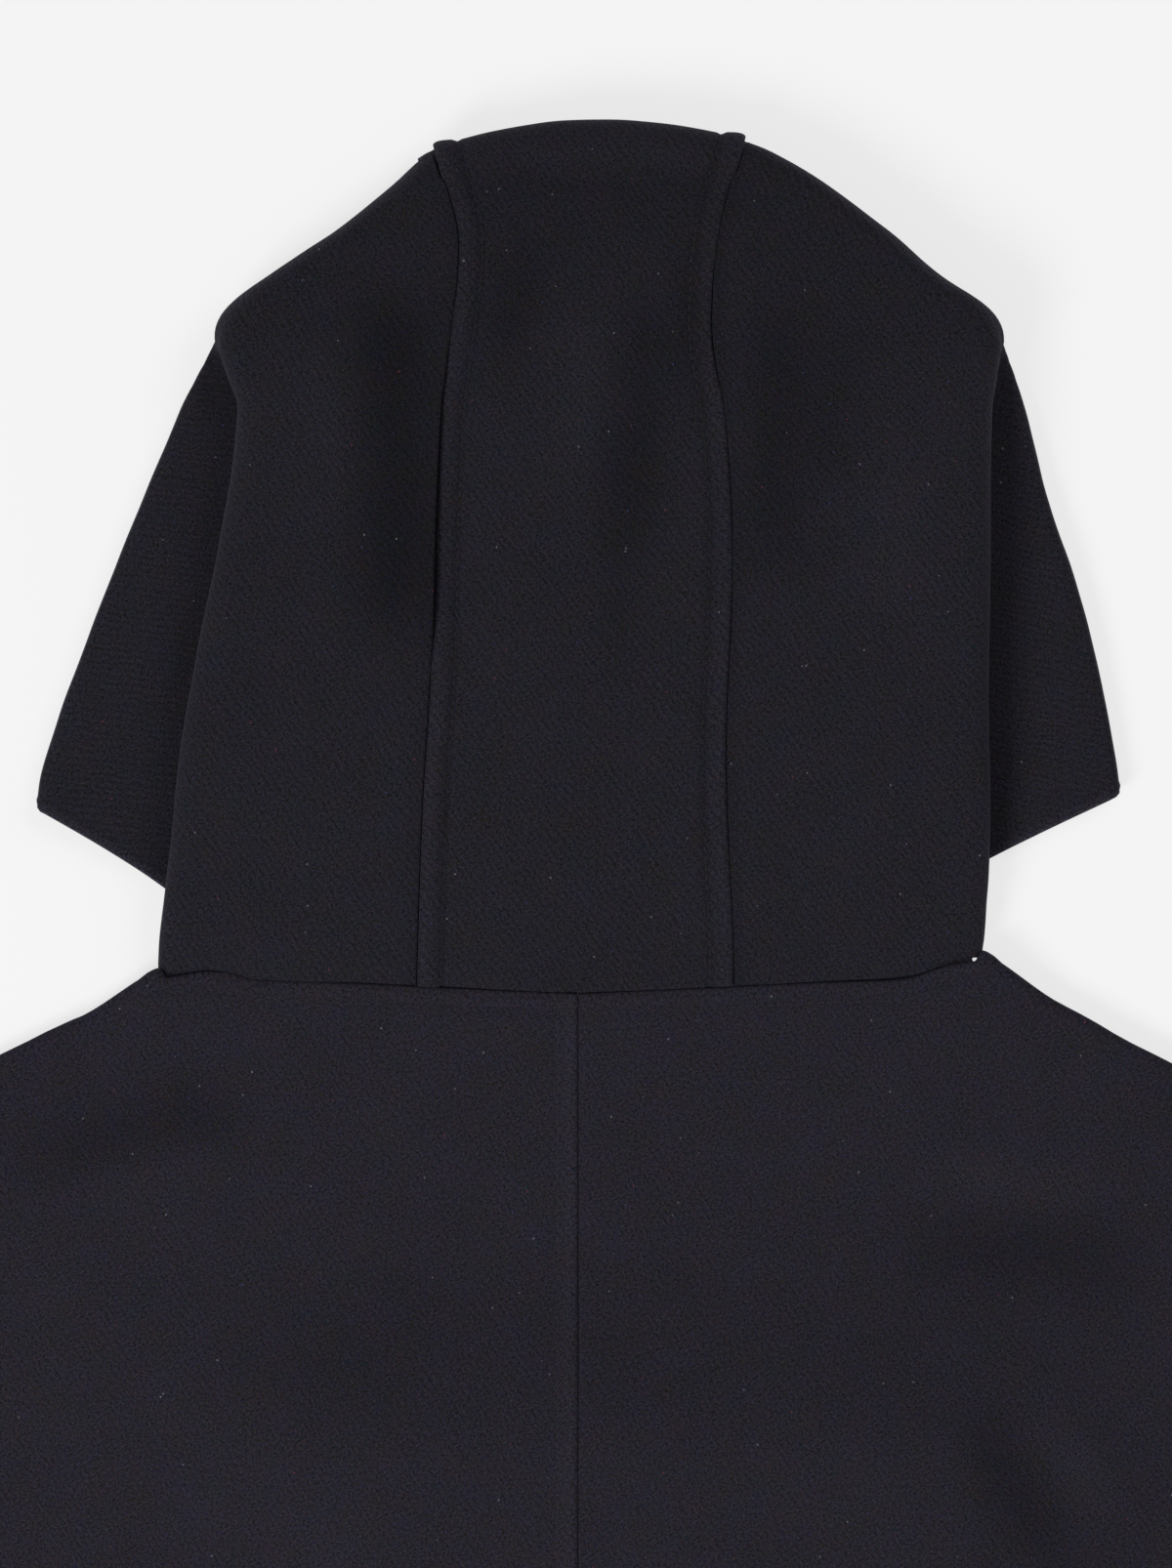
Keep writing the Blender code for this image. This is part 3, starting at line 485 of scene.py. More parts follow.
def section(side, up):
    """One cut across a hood side at a height: points (across, height), seam to seam."""
    table = hood_table(side)
    seam, fold, wing, height, roll, tuck = (
        read(table, c, up) for c in ("seam", "fold", "wing", "height", "roll", "tuck"))
    seam += SEAM_GAP / 2
    under = under_seam(side, up) + SEAM_GAP / 2
    wing_top = PLY + 2 * WING_FOLD
    wing_height = lerp(PLY * 2, wing_top, smooth((up - table[2].up) / WING_RISE))
    tuck_height = height - 2 * roll
    turn = (tuck_height - wing_height) / 2
    double = [(lerp(seam, fold - roll, n / TOP_STEPS), height) for n in range(TOP_STEPS + 1)]
    double += arc(fold - roll, height, roll, ROLL_STEPS, 1)
    root = fold - max(tuck, roll + 0.5)
    double += [(lerp(fold - roll, root, n / TUCK_STEPS), tuck_height)
               for n in range(1, TUCK_STEPS + 1)]
    double += arc(root, tuck_height, turn, TURN_STEPS, -1)
    out = wing - WING_FOLD
    double += [(lerp(root, out, n / WING_STEPS), lerp(wing_height, wing_top, n / WING_STEPS))
               for n in range(1, WING_STEPS + 1)]
    double += arc(out, wing_top, WING_FOLD, WING_FOLD_STEPS, 1)
    double += [(lerp(out, under, n / UNDER_STEPS), PLY) for n in range(1, UNDER_STEPS + 1)]

    radius = (height - PLY) / 2
    reach = wing - radius
    single = [(lerp(seam, reach, n / TOP_STEPS), height) for n in range(TOP_STEPS + 1)]
    single += arc(reach, height, radius, UNDER_START - TOP_STEPS, 1)
    single += [(lerp(reach, under, n / UNDER_STEPS), PLY) for n in range(1, UNDER_STEPS + 1)]
    opened = smooth((up - CROWN_PLAIN) / (CROWN_FOLD_START - CROWN_PLAIN))
    return [(lerp(d[0], s[0], opened), lerp(d[1], s[1], opened)) for d, s in zip(double, single)]


def low_edge(side, column, emerge):
    tip = LEFT_FACE_TIP if side < 0 else RIGHT_FACE_TIP
    if column <= WING_START:
        return emerge + min(column - ROLL_END, TUCK_STEPS) * 1.5
    if column <= WING_END:
        return lerp(emerge + 3, tip - 2, (column - WING_START) / WING_STEPS)
    if column <= UNDER_START:
        return lerp(tip - 2, tip + 2, (column - WING_END) / WING_FOLD_STEPS)
    return lerp(tip + 2, CENTRE_FOREHEAD, (column - UNDER_START) / UNDER_STEPS)


def seam_start(side):
    return along(shoulder_neck(side), "up", hood_table(side)[0].seam) + SEAM_GAP / 2 + NECK_LEAN


def crown_seam(side, t, away, lean=0.0):
    crown = crown_point(side)
    high = hood_table(side)[-1].height
    angle = math.pi * t
    across = crown.across - CROWN_SEAM_SPREAD * (1 - math.sin(angle)) + away
    across += lean * math.sin(angle)
    return (side * across, crown.up - CROWN_DEPTH * (1 - math.sin(angle)),
            lerp(high, PLY, (1 - math.cos(angle)) / 2))


def sliver(side, start, t):
    corner = abs(start[0])
    points = []
    for n, neck_across in enumerate(SLIVER_COLUMNS, start=1):
        g = n / len(SLIVER_COLUMNS)
        across = neck_across * corner / FRONT_NECK[-1].across + 6 * t * g
        share = along(FRONT_NECK, "share", neck_across)
        neck_up = lerp(-FRONT_NECK_DROP, start[1], share) + SEAM_GAP
        face_up = lerp(start[1], -FRONT_NECK_DROP + CHIN_WIDTH, g)
        height = lerp(start[2], front_height(side, across), smooth(g * 2))
        points.append((side * across, lerp(neck_up, face_up, t), height))
    return points


def hood_side_rows(side):
    """(rows of the roll and the chin below the emerging wing, rows above it)."""
    table = hood_table(side)
    fold_start, emerge = table[0].up, table[2].up
    seam_ups = (seam_start(side), *SEAM_UPS)

    def point(column, up):
        across, height = section(side, up)[column]
        return (side * across, up, height)

    def row(index):
        at_seam = seam_ups[index]
        if index <= EMERGE_ROW:
            at_fold = lerp(fold_start + SEAM_GAP / 2 + NECK_LEAN, emerge, index / EMERGE_ROW)
        else:
            part = (at_seam - seam_ups[EMERGE_ROW]) / (CROWN_PLAIN - seam_ups[EMERGE_ROW])
            at_fold = max(lerp(emerge, CROWN_PLAIN, part), at_seam * (index > PLAIN_ROW))
        points = []
        for column in range(ROLL_END + 1):
            share = smooth(column / TOP_STEPS)
            if index == 0 and column < TOP_STEPS:
                neck = shoulder_neck(side)
                across = section(side, at_seam)[column][0]
                miss = at_fold - along(neck, "up", table[0].fold)
                up = along(neck, "up", across) + lerp(SEAM_GAP / 2 + NECK_LEAN, miss, share)
                points.append((side * across, up, table[0].height))
            else:
                points.append(point(column, lerp(at_seam, at_fold, share)))
        return points

    lower = []
    for index in range(EMERGE_ROW + 1):
        start = row(index)
        lower.append(start + sliver(side, start[-1], index / EMERGE_ROW))
    upper = []
    for index in range(EMERGE_ROW, PLAIN_ROW + 1):
        start = row(index)
        t = (start[-1][1] - emerge) / (CROWN_PLAIN - emerge)
        upper.append(start + [point(c, lerp(low_edge(side, c, emerge), CROWN_PLAIN, t))
                              for c in range(ROLL_END + 1, LAST + 1)])
    for up in SEAM_UPS[PLAIN_ROW:]:
        upper.append([point(c, up) for c in range(LAST + 1)])
    upper.append([crown_seam(side, column / LAST, SEAM_GAP / 2, CROWN_LEAN)
                  for column in range(LAST + 1)])
    return lower, upper


def hood_centre_rows():
    columns = [n / CENTRE_STEPS for n in range(CENTRE_STEPS + 1)]
    rows = []

    def across_panel(left, right, arch):
        row = []
        for s in columns:
            bow = arch * 4 * s * (1 - s)
            row.append((lerp(left[0], right[0], s), lerp(left[1], right[1], s) + bow,
                        lerp(left[2], right[2], s)))
        return row

    def seam_point(side, up):
        table = hood_table(side)
        return (side * (read(table, "seam", up) - SEAM_GAP / 2), up, read(table, "height", up))

    ends = [seam_point(side, seam_start(side)) for side in (-1, 1)]
    start = across_panel(*ends, 0.0)
    rows.append([(p[0], along(shoulder_neck(p[0]), "up", abs(p[0])) + SEAM_GAP / 2 + NECK_LEAN,
                  p[2]) for p in start])
    for up in SEAM_UPS:
        ends = [seam_point(side, up) for side in (-1, 1)]
        rows.append(across_panel(*ends, CROWN_ARCH * smooth((up - 200) / 97)))
    for n in range(CROWN_STEPS + 1):
        ends = [crown_seam(side, n / CROWN_STEPS, -SEAM_GAP / 2) for side in (-1, 1)]
        rows.append(across_panel(*ends, CROWN_ARCH))
    for n in range(1, CENTRE_UNDER_STEPS + 1):
        t = n / CENTRE_UNDER_STEPS
        ends = []
        for side in (-1, 1):
            up = lerp(crown_point(side).up - CROWN_DEPTH, CENTRE_FOREHEAD, t)
            ends.append((side * (under_seam(side, up) - SEAM_GAP / 2), up, PLY))
        rows.append([(p[0], p[1], PLY) for p in across_panel(*ends, CROWN_ARCH * (1 - t))])
    return rows


# ---------------------------------------------------------------- fine grids

EDGE_STEPS = (0.0, 0.12, 0.4, 0.85, 1.35, 2.0, 2.8, 3.8)


def fine_places(keys, first, last, step, start_edge=True, end_edge=True):
    """Places along keys (lengths), closer together at the two ends."""
    total = keys[last] - keys[first]
    head = [e for e in EDGE_STEPS if e < total / 3] if start_edge else [0.0]
    tail = [total - e for e in EDGE_STEPS if e < total / 3][::-1] if end_edge else [total]
    count = max(int(round((tail[0] - head[-1]) / step)), 1)
    middle = [lerp(head[-1], tail[0], n / count) for n in range(1, count)]
    return [keys[first] + x for x in head + middle + tail]


def curve_weights(keys, places):
    """Matrix that reads a smooth curve through the rows at the keys at each place."""
    n = len(keys)
    slopes = np.zeros((n, n))
    for i in range(n):
        b, a = max(i - 1, 0), min(i + 1, n - 1)
        slopes[i, a] += 1 / (keys[a] - keys[b])
        slopes[i, b] -= 1 / (keys[a] - keys[b])
    out = np.zeros((len(places), n))
    for row, at in enumerate(places):
        i = min(max(int(np.searchsorted(keys, at, side="right")) - 1, 0), n - 2)
        w = keys[i + 1] - keys[i]
        t = (at - keys[i]) / w
        out[row, i] += 2 * t ** 3 - 3 * t ** 2 + 1
        out[row, i + 1] += -2 * t ** 3 + 3 * t ** 2
        out[row] += (t ** 3 - 2 * t ** 2 + t) * w * slopes[i]
        out[row] += (t ** 3 - t ** 2) * w * slopes[i + 1]
    return out


def mean_keys(grid, axis):
    """Mean running length along an axis of a grid of points."""
    steps = np.linalg.norm(np.diff(grid, axis=axis), axis=2).mean(axis=1 - axis)
    return np.concatenate([[0.0], np.cumsum(steps)])


def running(grid, axis):
    """Running length at each point along an axis."""
    steps = np.linalg.norm(np.diff(grid, axis=axis), axis=2)
    zero = np.zeros_like(np.take(steps, [0], axis=axis))
    return np.concatenate([zero, np.cumsum(steps, axis=axis)], axis=axis)


class Sheet:
    """A cloth surface of welded grids; points, faces, and lengths for each point."""

    def __init__(self):
        self.points, self.faces, self.data = [], [], []

    def add(self, grid, first_row=None, **columns):
        """Adds a grid. first_row gives the numbers of points that exist already."""
        rows, cols = grid.shape[:2]
        ids = np.full((rows, cols), -1, dtype=int)
        if first_row is not None:
            ids[0, :len(first_row)] = first_row
        for r in range(rows):
            for c in range(cols):
                if ids[r, c] < 0:
                    ids[r, c] = len(self.points)
                    self.points.append(grid[r, c])
                    self.data.append([float(columns[k][r, c]) for k in sorted(columns)])
        self.names = sorted(columns)
        a, b = ids[:-1, :-1].ravel(), ids[:-1, 1:].ravel()
        c, d = ids[1:, 1:].ravel(), ids[1:, :-1].ravel()
        self.faces += [list(f) for f in np.stack([a, b, c, d], axis=1)]
        return ids

    def array(self, name):
        return np.array([d[self.names.index(name)] for d in self.data])


def normals(points, faces):
    tri = np.array(faces)
    p = points[tri]
    n = np.cross(p[:, 2] - p[:, 0], p[:, 3] - p[:, 1])
    out = np.zeros_like(points)
    for k in range(4):
        np.add.at(out, tri[:, k], n)
    return out / np.maximum(np.linalg.norm(out, axis=1, keepdims=True), 1e-12)


def edge_points(faces):
    """Numbers of the points on the open edges."""
    seen = {}
    for f in faces:
        for k in range(4):
            ends = (f[k], f[(k + 1) % 4])
            if ends[0] != ends[1]:
                key = (min(ends), max(ends))
                seen[key] = key not in seen
    return sorted({i for key, is_open in seen.items() if is_open for i in key})


def wool_noise(points, scale, seed):
    return np.array([noise.noise(Vector(p) / scale + Vector((seed, 0, 0))) for p in points])


Piece = namedtuple("Piece", "obj points out ids sheet")


def place(name, mesh, material):
    obj = bpy.data.objects.new(name, mesh)
    bpy.context.scene.collection.objects.link(obj)
    mesh.materials.append(material)
    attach(obj, "root")
    return obj


def shell(name, sheet, push, twill_turn, shade=None, material=None, flip=False):
    """A closed cloth piece with round edges from a Sheet.

    push is how far each point moves out along the cloth's outer normal.
    """
    points = np.array(sheet.points)
    faces = [f for f in sheet.faces if len(set(f)) > 2]
    if flip:
        faces = [f[::-1] for f in faces]
    points = points + normals(points, faces) * push[:, None]
    out = normals(points, faces)
    rim = edge_points(faces)
    tree = KDTree(len(rim))
    for n, i in enumerate(rim):
        tree.insert(points[i], n)
    tree.balance()
    away = np.array([min(tree.find(p)[2], FAR) for p in points])
    bend = np.clip(away / EDGE_ROUND, 0, 1)
    thick = WALL / 2 * np.sqrt(1 - (1 - bend) ** 2)
    on_rim = np.zeros(len(points), bool)
    on_rim[rim] = True
    top = points + out * thick[:, None]
    bottom = points - out * thick[:, None]
    number = len(points)
    under = np.where(on_rim, np.arange(number), np.arange(number) + number)
    verts = np.concatenate([top, bottom])
    verts[:number][on_rim] = points[on_rim]
    verts[:, 2] = np.maximum(verts[:, 2], FLOOR_GAP)
    all_faces = [list(f) for f in faces] + [[int(under[i]) for i in f[::-1]] for f in faces]
    clean = []
    for f in all_faces:
        g = [f[k] for k in range(4) if f[k] != f[(k + 1) % 4]]
        if len(g) > 2:
            clean.append(g)
    used = sorted({i for f in clean for i in f})
    back = {i: n for n, i in enumerate(used)}
    mesh = bpy.data.meshes.new(name)
    mesh.from_pydata([tuple(Vector(verts[i]) * MM + ORIGIN) for i in used], [],
                     [[back[i] for i in f] for f in clean])
    mesh.validate()
    mesh.shade_smooth()
    layer = mesh.uv_layers.new(name="weave")
    u, v = sheet.array("u"), sheet.array("v")
    turn = twill_turn(sheet) if callable(twill_turn) else np.full(number, twill_turn)
    cos, sin = np.cos(turn), np.sin(turn)
    coords = np.stack([(u * cos + v * sin) * MM, (-u * sin + v * cos) * MM], axis=1)
    source = np.array([used[loop.vertex_index] % number for loop in mesh.loops])
    layer.data.foreach_set("uv", coords[source].ravel())
    # painted shade and highlight, stored per point and multiplied into the wool's colour
    painted_light = mesh.attributes.new("painted_light", "FLOAT", "POINT")
    light = np.ones(number) if shade is None else shade
    painted_light.data.foreach_set("value", light[np.array(used) % number].astype(np.float32))
    return place(name, mesh, material or WOOL), points, out


# ---------------------------------------------------------------- materials

def new_material(name):
    made = bpy.data.materials.new(name)
    made.use_nodes = True
    nodes, links = made.node_tree.nodes, made.node_tree.links
    return made, nodes, links, nodes["Principled BSDF"]


def wool_material(name, base, stripe, bump):
    """Heavy wool twill: slanting ribs, fuzz, a slight mottle and a few specks of lint."""
    made, nodes, links, shader = new_material(name)

    uv = nodes.new("ShaderNodeUVMap")
    uv.uv_map = "weave"

    def texture(kind, **inputs):
        n = nodes.new(kind)
        for key, value in inputs.items():
            n.inputs[key].default_value = value
        links.new(uv.outputs[0], n.inputs["Vector"])
        return n

    def noise_map(scale, detail, roughness=0.5):
        return texture("ShaderNodeTexNoise", Scale=scale, Detail=detail, Roughness=roughness)

    def calc(operation, *values):
        n = nodes.new("ShaderNodeMath")
        n.operation = operation
        for socket, value in zip(n.inputs, values):
            if isinstance(value, (int, float)):
                socket.default_value = value
            else:
                links.new(value, socket)
        return n.outputs[0]

    def off_middle(value, amount):
        return calc("MULTIPLY", calc("SUBTRACT", value, 0.5), amount)

    split = nodes.new("ShaderNodeSeparateXYZ")
    links.new(uv.outputs[0], split.inputs[0])
    spot = calc("ADD", split.outputs[0], off_middle(noise_map(70.0, 2.0).outputs[0], 0.0042))
    spot = calc("ADD", spot, off_middle(noise_map(520.0, 2.0).outputs[0], 0.0034))
    wave = calc("SINE", calc("MULTIPLY", spot, 2 * math.pi / TWILL_PERIOD))
    # the ribs break up along their length
    ribs = calc("MULTIPLY", wave, calc("MULTIPLY", noise_map(190.0, 2.0).outputs[0], 1.7))
    fuzz_off = calc("SUBTRACT", noise_map(1150.0, 2.0, 0.8).outputs[0], 0.5)
    mottle = off_middle(noise_map(28.0, 3.0).outputs[0], 0.22)
    level = calc("ADD", calc("MULTIPLY", ribs, stripe),
                 calc("ADD", calc("MULTIPLY", fuzz_off, 4.2), mottle))
    gain = calc("MAXIMUM", calc("ADD", level, 1.0), 0.25)
    # painted shade and highlight: the colour is multiplied by a per-point factor that darkens
    # creases, stitch grooves and the top of the hood, and lightens seam ridges and hems
    painted_light = nodes.new("ShaderNodeAttribute")
    painted_light.attribute_name = "painted_light"
    gain = calc("MULTIPLY", gain, painted_light.outputs["Fac"])
    fibres = noise_map(620.0, 2.5, 0.75)
    fibre = nodes.new("ShaderNodeSeparateColor")
    links.new(fibres.outputs["Color"], fibre.inputs[0])
    colour = nodes.new("ShaderNodeMix")
    colour.data_type = "RGBA"
    colour.blend_type = "MULTIPLY"
    colour.inputs["Factor"].default_value = 1.0
    colour.inputs[6].default_value = (*base, 1.0)
    grey = nodes.new("ShaderNodeCombineColor")
    blush = noise_map(82.0, 3.0, 0.6)
    tinge = nodes.new("ShaderNodeSeparateColor")
    links.new(blush.outputs["Color"], tinge.inputs[0])
    for k, (amount, broad) in enumerate(((1.3, 0.6), (0.5, 0.08), (1.3, 0.65))):
        own = calc("ADD", off_middle(fibre.outputs[k], amount),
                   off_middle(tinge.outputs[k], broad))
        links.new(calc("MAXIMUM", calc("ADD", gain, own), 0.15), grey.inputs[k])
    links.new(grey.outputs[0], colour.inputs[7])
    # lint: small dots in a few of the cells of a cell pattern
    cells = texture("ShaderNodeTexVoronoi", Scale=150.0)
    near = calc("LESS_THAN", cells.outputs["Distance"], 0.05)
    tone = nodes.new("ShaderNodeSeparateColor")
    links.new(cells.outputs["Color"], tone.inputs[0])
    chosen = calc("GREATER_THAN", tone.outputs[0], 0.42)
    speck = calc("MULTIPLY", calc("MULTIPLY", near, chosen), 0.75)
    tint = nodes.new("ShaderNodeValToRGB")
    ramp = tint.color_ramp
    ramp.interpolation = "CONSTANT"
    ramp.elements[0].color = (0.16, 0.155, 0.18, 1)
    ramp.elements[1].position = 0.5
    ramp.elements[1].color = (0.13, 0.035, 0.04, 1)
    extra = ramp.elements.new(0.75)
    extra.color = (0.035, 0.05, 0.13, 1)
    links.new(tone.outputs[1], tint.inputs[0])
    dotted = nodes.new("ShaderNodeMix")
    dotted.data_type = "RGBA"
    links.new(speck, dotted.inputs["Factor"])
    links.new(colour.outputs[2], dotted.inputs[6])
    links.new(tint.outputs[0], dotted.inputs[7])
    links.new(dotted.outputs[2], shader.inputs["Base Color"])
    height = calc("ADD", calc("MULTIPLY", ribs, 0.22), calc("MULTIPLY", fuzz_off, 1.6))
    relief = nodes.new("ShaderNodeBump")
    relief.inputs["Strength"].default_value = bump
    relief.inputs["Distance"].default_value = 0.00035
    links.new(height, relief.inputs["Height"])
    links.new(relief.outputs[0], shader.inputs["Normal"])
    shader.inputs["Roughness"].default_value = 0.95
    shader.inputs["Specular IOR Level"].default_value = 0.12
    shader.inputs["Sheen Weight"].default_value = 0.055
    shader.inputs["Sheen Roughness"].default_value = 0.45
    shader.inputs["Sheen Tint"].default_value = (0.75, 0.74, 1.0, 1.0)
    return made


def plain_material(name, base, roughness, scale, contrast, bump, stretch=(1, 1, 1)):
    """A finish with a noise in its colour and relief, for small parts."""
    made, nodes, links, shader = new_material(name)
    spot = nodes.new("ShaderNodeTexCoord")
    fit = nodes.new("ShaderNodeMapping")
    fit.inputs["Scale"].default_value = stretch
    links.new(spot.outputs["Object"], fit.inputs[0])
    grain = nodes.new("ShaderNodeTexNoise")
    grain.inputs["Scale"].default_value = scale
    grain.inputs["Detail"].default_value = 4.0
    links.new(fit.outputs[0], grain.inputs["Vector"])
    ramp = nodes.new("ShaderNodeValToRGB")
    ramp.color_ramp.elements[0].position = 0.3
    ramp.color_ramp.elements[1].position = 0.7
    ramp.color_ramp.elements[0].color = (*[c * (1 - contrast) for c in base], 1)
    ramp.color_ramp.elements[1].color = (*[c * (1 + contrast) for c in base], 1)
    links.new(grain.outputs[0], ramp.inputs[0])
    links.new(ramp.outputs[0], shader.inputs["Base Color"])
    relief = nodes.new("ShaderNodeBump")
    relief.inputs["Strength"].default_value = bump
    relief.inputs["Distance"].default_value = 0.0003
    links.new(grain.outputs[0], relief.inputs["Height"])
    links.new(relief.outputs[0], shader.inputs["Normal"])
    shader.inputs["Roughness"].default_value = roughness
    return made


TWILL_PERIOD = 0.0025
BODY_TINT = (0.0176, 0.0156, 0.0232)
# painted shade: the hood's wool is a darker copy of the body's colour
HOOD_SHADED_TINT = (0.0141, 0.0131, 0.0186)
WOOL = wool_material("wool_body", BODY_TINT, 0.09, 0.8)
WOOL_HOOD_SHADED = wool_material("wool_hood_shaded", HOOD_SHADED_TINT, 0.18, 0.8)
THREAD = plain_material("thread", (0.008, 0.0075, 0.010), 0.8, 900, 0.3, 0.3)


def twill(slope_deg):
    """Turn that lays ribs running down to the right at that slope."""
    return math.pi / 2 - math.radians(slope_deg)


def unit(ways):
    return ways / np.maximum(np.linalg.norm(ways, axis=-1, keepdims=True), 1e-9)


def widen(grid, axis, end, amount):
    """Moves the points along one edge of a grid outwards, to close up a seam."""
    move = np.moveaxis(grid, axis, 0)
    way = unit(move[end] - move[end + (4 if end == 0 else -4)])
    for k in range(4):
        move[end + (k if end == 0 else -k)] += way * amount


def groove(distance, at, width, depth):
    return -depth * np.exp(-((distance - at) / width) ** 2)


def band(distance, inner, outer, height, soft=0.9):
    """A raised band between two distances, with soft sides."""
    a = 1 / (1 + np.exp(-(distance - inner) / soft * 2.2))
    b = 1 / (1 + np.exp((distance - outer) / soft * 2.2))
    return height * a * b


def line_run(line):
    """Points, outward ways and running lengths of a line of (point, outward) pairs."""
    at = np.array([p for p, n in line])
    outs = np.array([n for p, n in line])
    run = np.concatenate([[0.0], np.cumsum(np.linalg.norm(np.diff(at, axis=0), axis=1))])
    return at, outs, run


def close_rings(made, rings):
    """Faces between the rings of a solid, and over its two ends."""
    size = len(rings[0])
    for low, high in zip(rings, rings[1:]):
        for j in range(size):
            made.faces.new((low[j], low[(j + 1) % size], high[(j + 1) % size], high[j]))
    made.faces.new(rings[0][::-1])
    made.faces.new(rings[-1])


def finished(name, made):
    bmesh.ops.recalc_face_normals(made, faces=made.faces)
    data = bpy.data.meshes.new(name)
    made.to_mesh(data)
    made.free()
    data.shade_smooth()
    return data


# Along the stitch, share of the radius, lift
STITCH_RINGS = ((0.0, 0.5, -0.12), (0.18, 1.0, 0.0), (0.82, 1.0, 0.0), (1.0, 0.5, -0.12))
STITCH_START = 0.4


def stitches(name, lines, step=3.6, length=2.7, radius=0.23):
    """Short rounded stitches along lines of (point, outward) pairs, as one mesh."""
    made = bmesh.new()
    for line in lines:
        at, outs, run = line_run(line)
        for k in range(int(run[-1] / step)):
            ends = []
            for spot in (k * step + STITCH_START, k * step + STITCH_START + length):
                i = min(int(np.searchsorted(run, spot, side="right")) - 1, len(run) - 2)
                t = (spot - run[i]) / max(run[i + 1] - run[i], 1e-9)
                ends.append((at[i] + (at[i + 1] - at[i]) * t, outs[i]))
            a, b = Vector(ends[0][0]), Vector(ends[1][0])
            up = Vector(ends[0][1]).normalized()
            side = (b - a).normalized().cross(up).normalized()
            rings = []
            for t, r, lift in STITCH_RINGS:
                centre = a.lerp(b, t) + up * lift
                rings.append([made.verts.new((centre + (side * math.cos(q) + up * math.sin(q))
                                              * radius * r) * MM + ORIGIN)
                              for q in (math.pi / 3 * j for j in range(6))])
            close_rings(made, rings)
    return place(name, finished(name, made), THREAD)


TAPE_STEP = 3.0
TAPE_OVERLAP = 0.7
# painted shade: the seam allowance shows darker in the gaps between pieces
TAPE_PAINTED_SHADE = 0.95


def allowance(name, first, second, half=7.0, thick=1.2):
    """The pressed-open seam allowance below a seam, between the two pieces' edges.

    first and second are lists of (point, outward) along the two edges.
    """
    length = sum(np.linalg.norm(b[0] - a[0]) for a, b in zip(first, first[1:]))
    count = max(int(length / TAPE_STEP), 8)

    def resample(line):
        at, outs, run = line_run(line)
        want = np.linspace(0, run[-1], count)
        return [np.stack([np.interp(want, run, v[:, k]) for k in range(3)], axis=1)
                for v in (at, outs)]

    (a, na), (b, nb) = resample(first), resample(second)
    middle, outs = (a + b) / 2, unit(na + nb)
    aside = unit(np.cross(unit(np.gradient(middle, axis=0)), outs))
    drop = WALL / 2 + thick / 2 - TAPE_OVERLAP
    profile = [(-half, 0.0, 0.2), (-half * 0.5, 0.0, 1.0), (-0.9, 0.0, 1.0), (0.0, 0.12, 1.0),
               (0.9, 0.0, 1.0), (half * 0.5, 0.0, 1.0), (half, 0.0, 0.2)]
    made = bmesh.new()
    rings = []
    for k in range(count):
        ring = []
        for off, lift, t in profile + [(o, l, -t) for o, l, t in profile[::-1]]:
            spot = middle[k] + aside[k] * off + outs[k] * (-drop + lift + t * thick / 2)
            spot[2] = max(spot[2], FLOOR_GAP)
            ring.append(made.verts.new(Vector(spot) * MM + ORIGIN))
        rings.append(ring)
    close_rings(made, rings)
    data = finished(name, made)
    flat = np.array([v.co[:] for v in data.vertices])
    loops = np.array([loop.vertex_index for loop in data.loops])
    data.uv_layers.new(name="weave").data.foreach_set("uv", flat[loops][:, :2].ravel())
    data.attributes.new("painted_light", "FLOAT", "POINT").data.foreach_set(
        "value", np.full(len(flat), TAPE_PAINTED_SHADE, np.float32))
    return place(name, data, WOOL)


def edge_line(piece, ids):
    """(point, outward) along numbered points of a piece."""
    return [(piece.points[i], piece.out[i]) for i in ids]


HOOD_STEP = 2.0
BODY_STEP = 5.0
OUTSIDE = WALL / 2 - 0.05


# ---------------------------------------------------------------- hood sides

def crown_bump(points, side):
    """The bump of a seam's end at the crown."""
    crown = crown_point(side)
    away = np.hypot(points[:, 0] - side * crown.across, points[:, 1] - crown.up)
    return CROWN_BUMP * np.exp(-(away / CROWN_BUMP_REACH) ** 2)


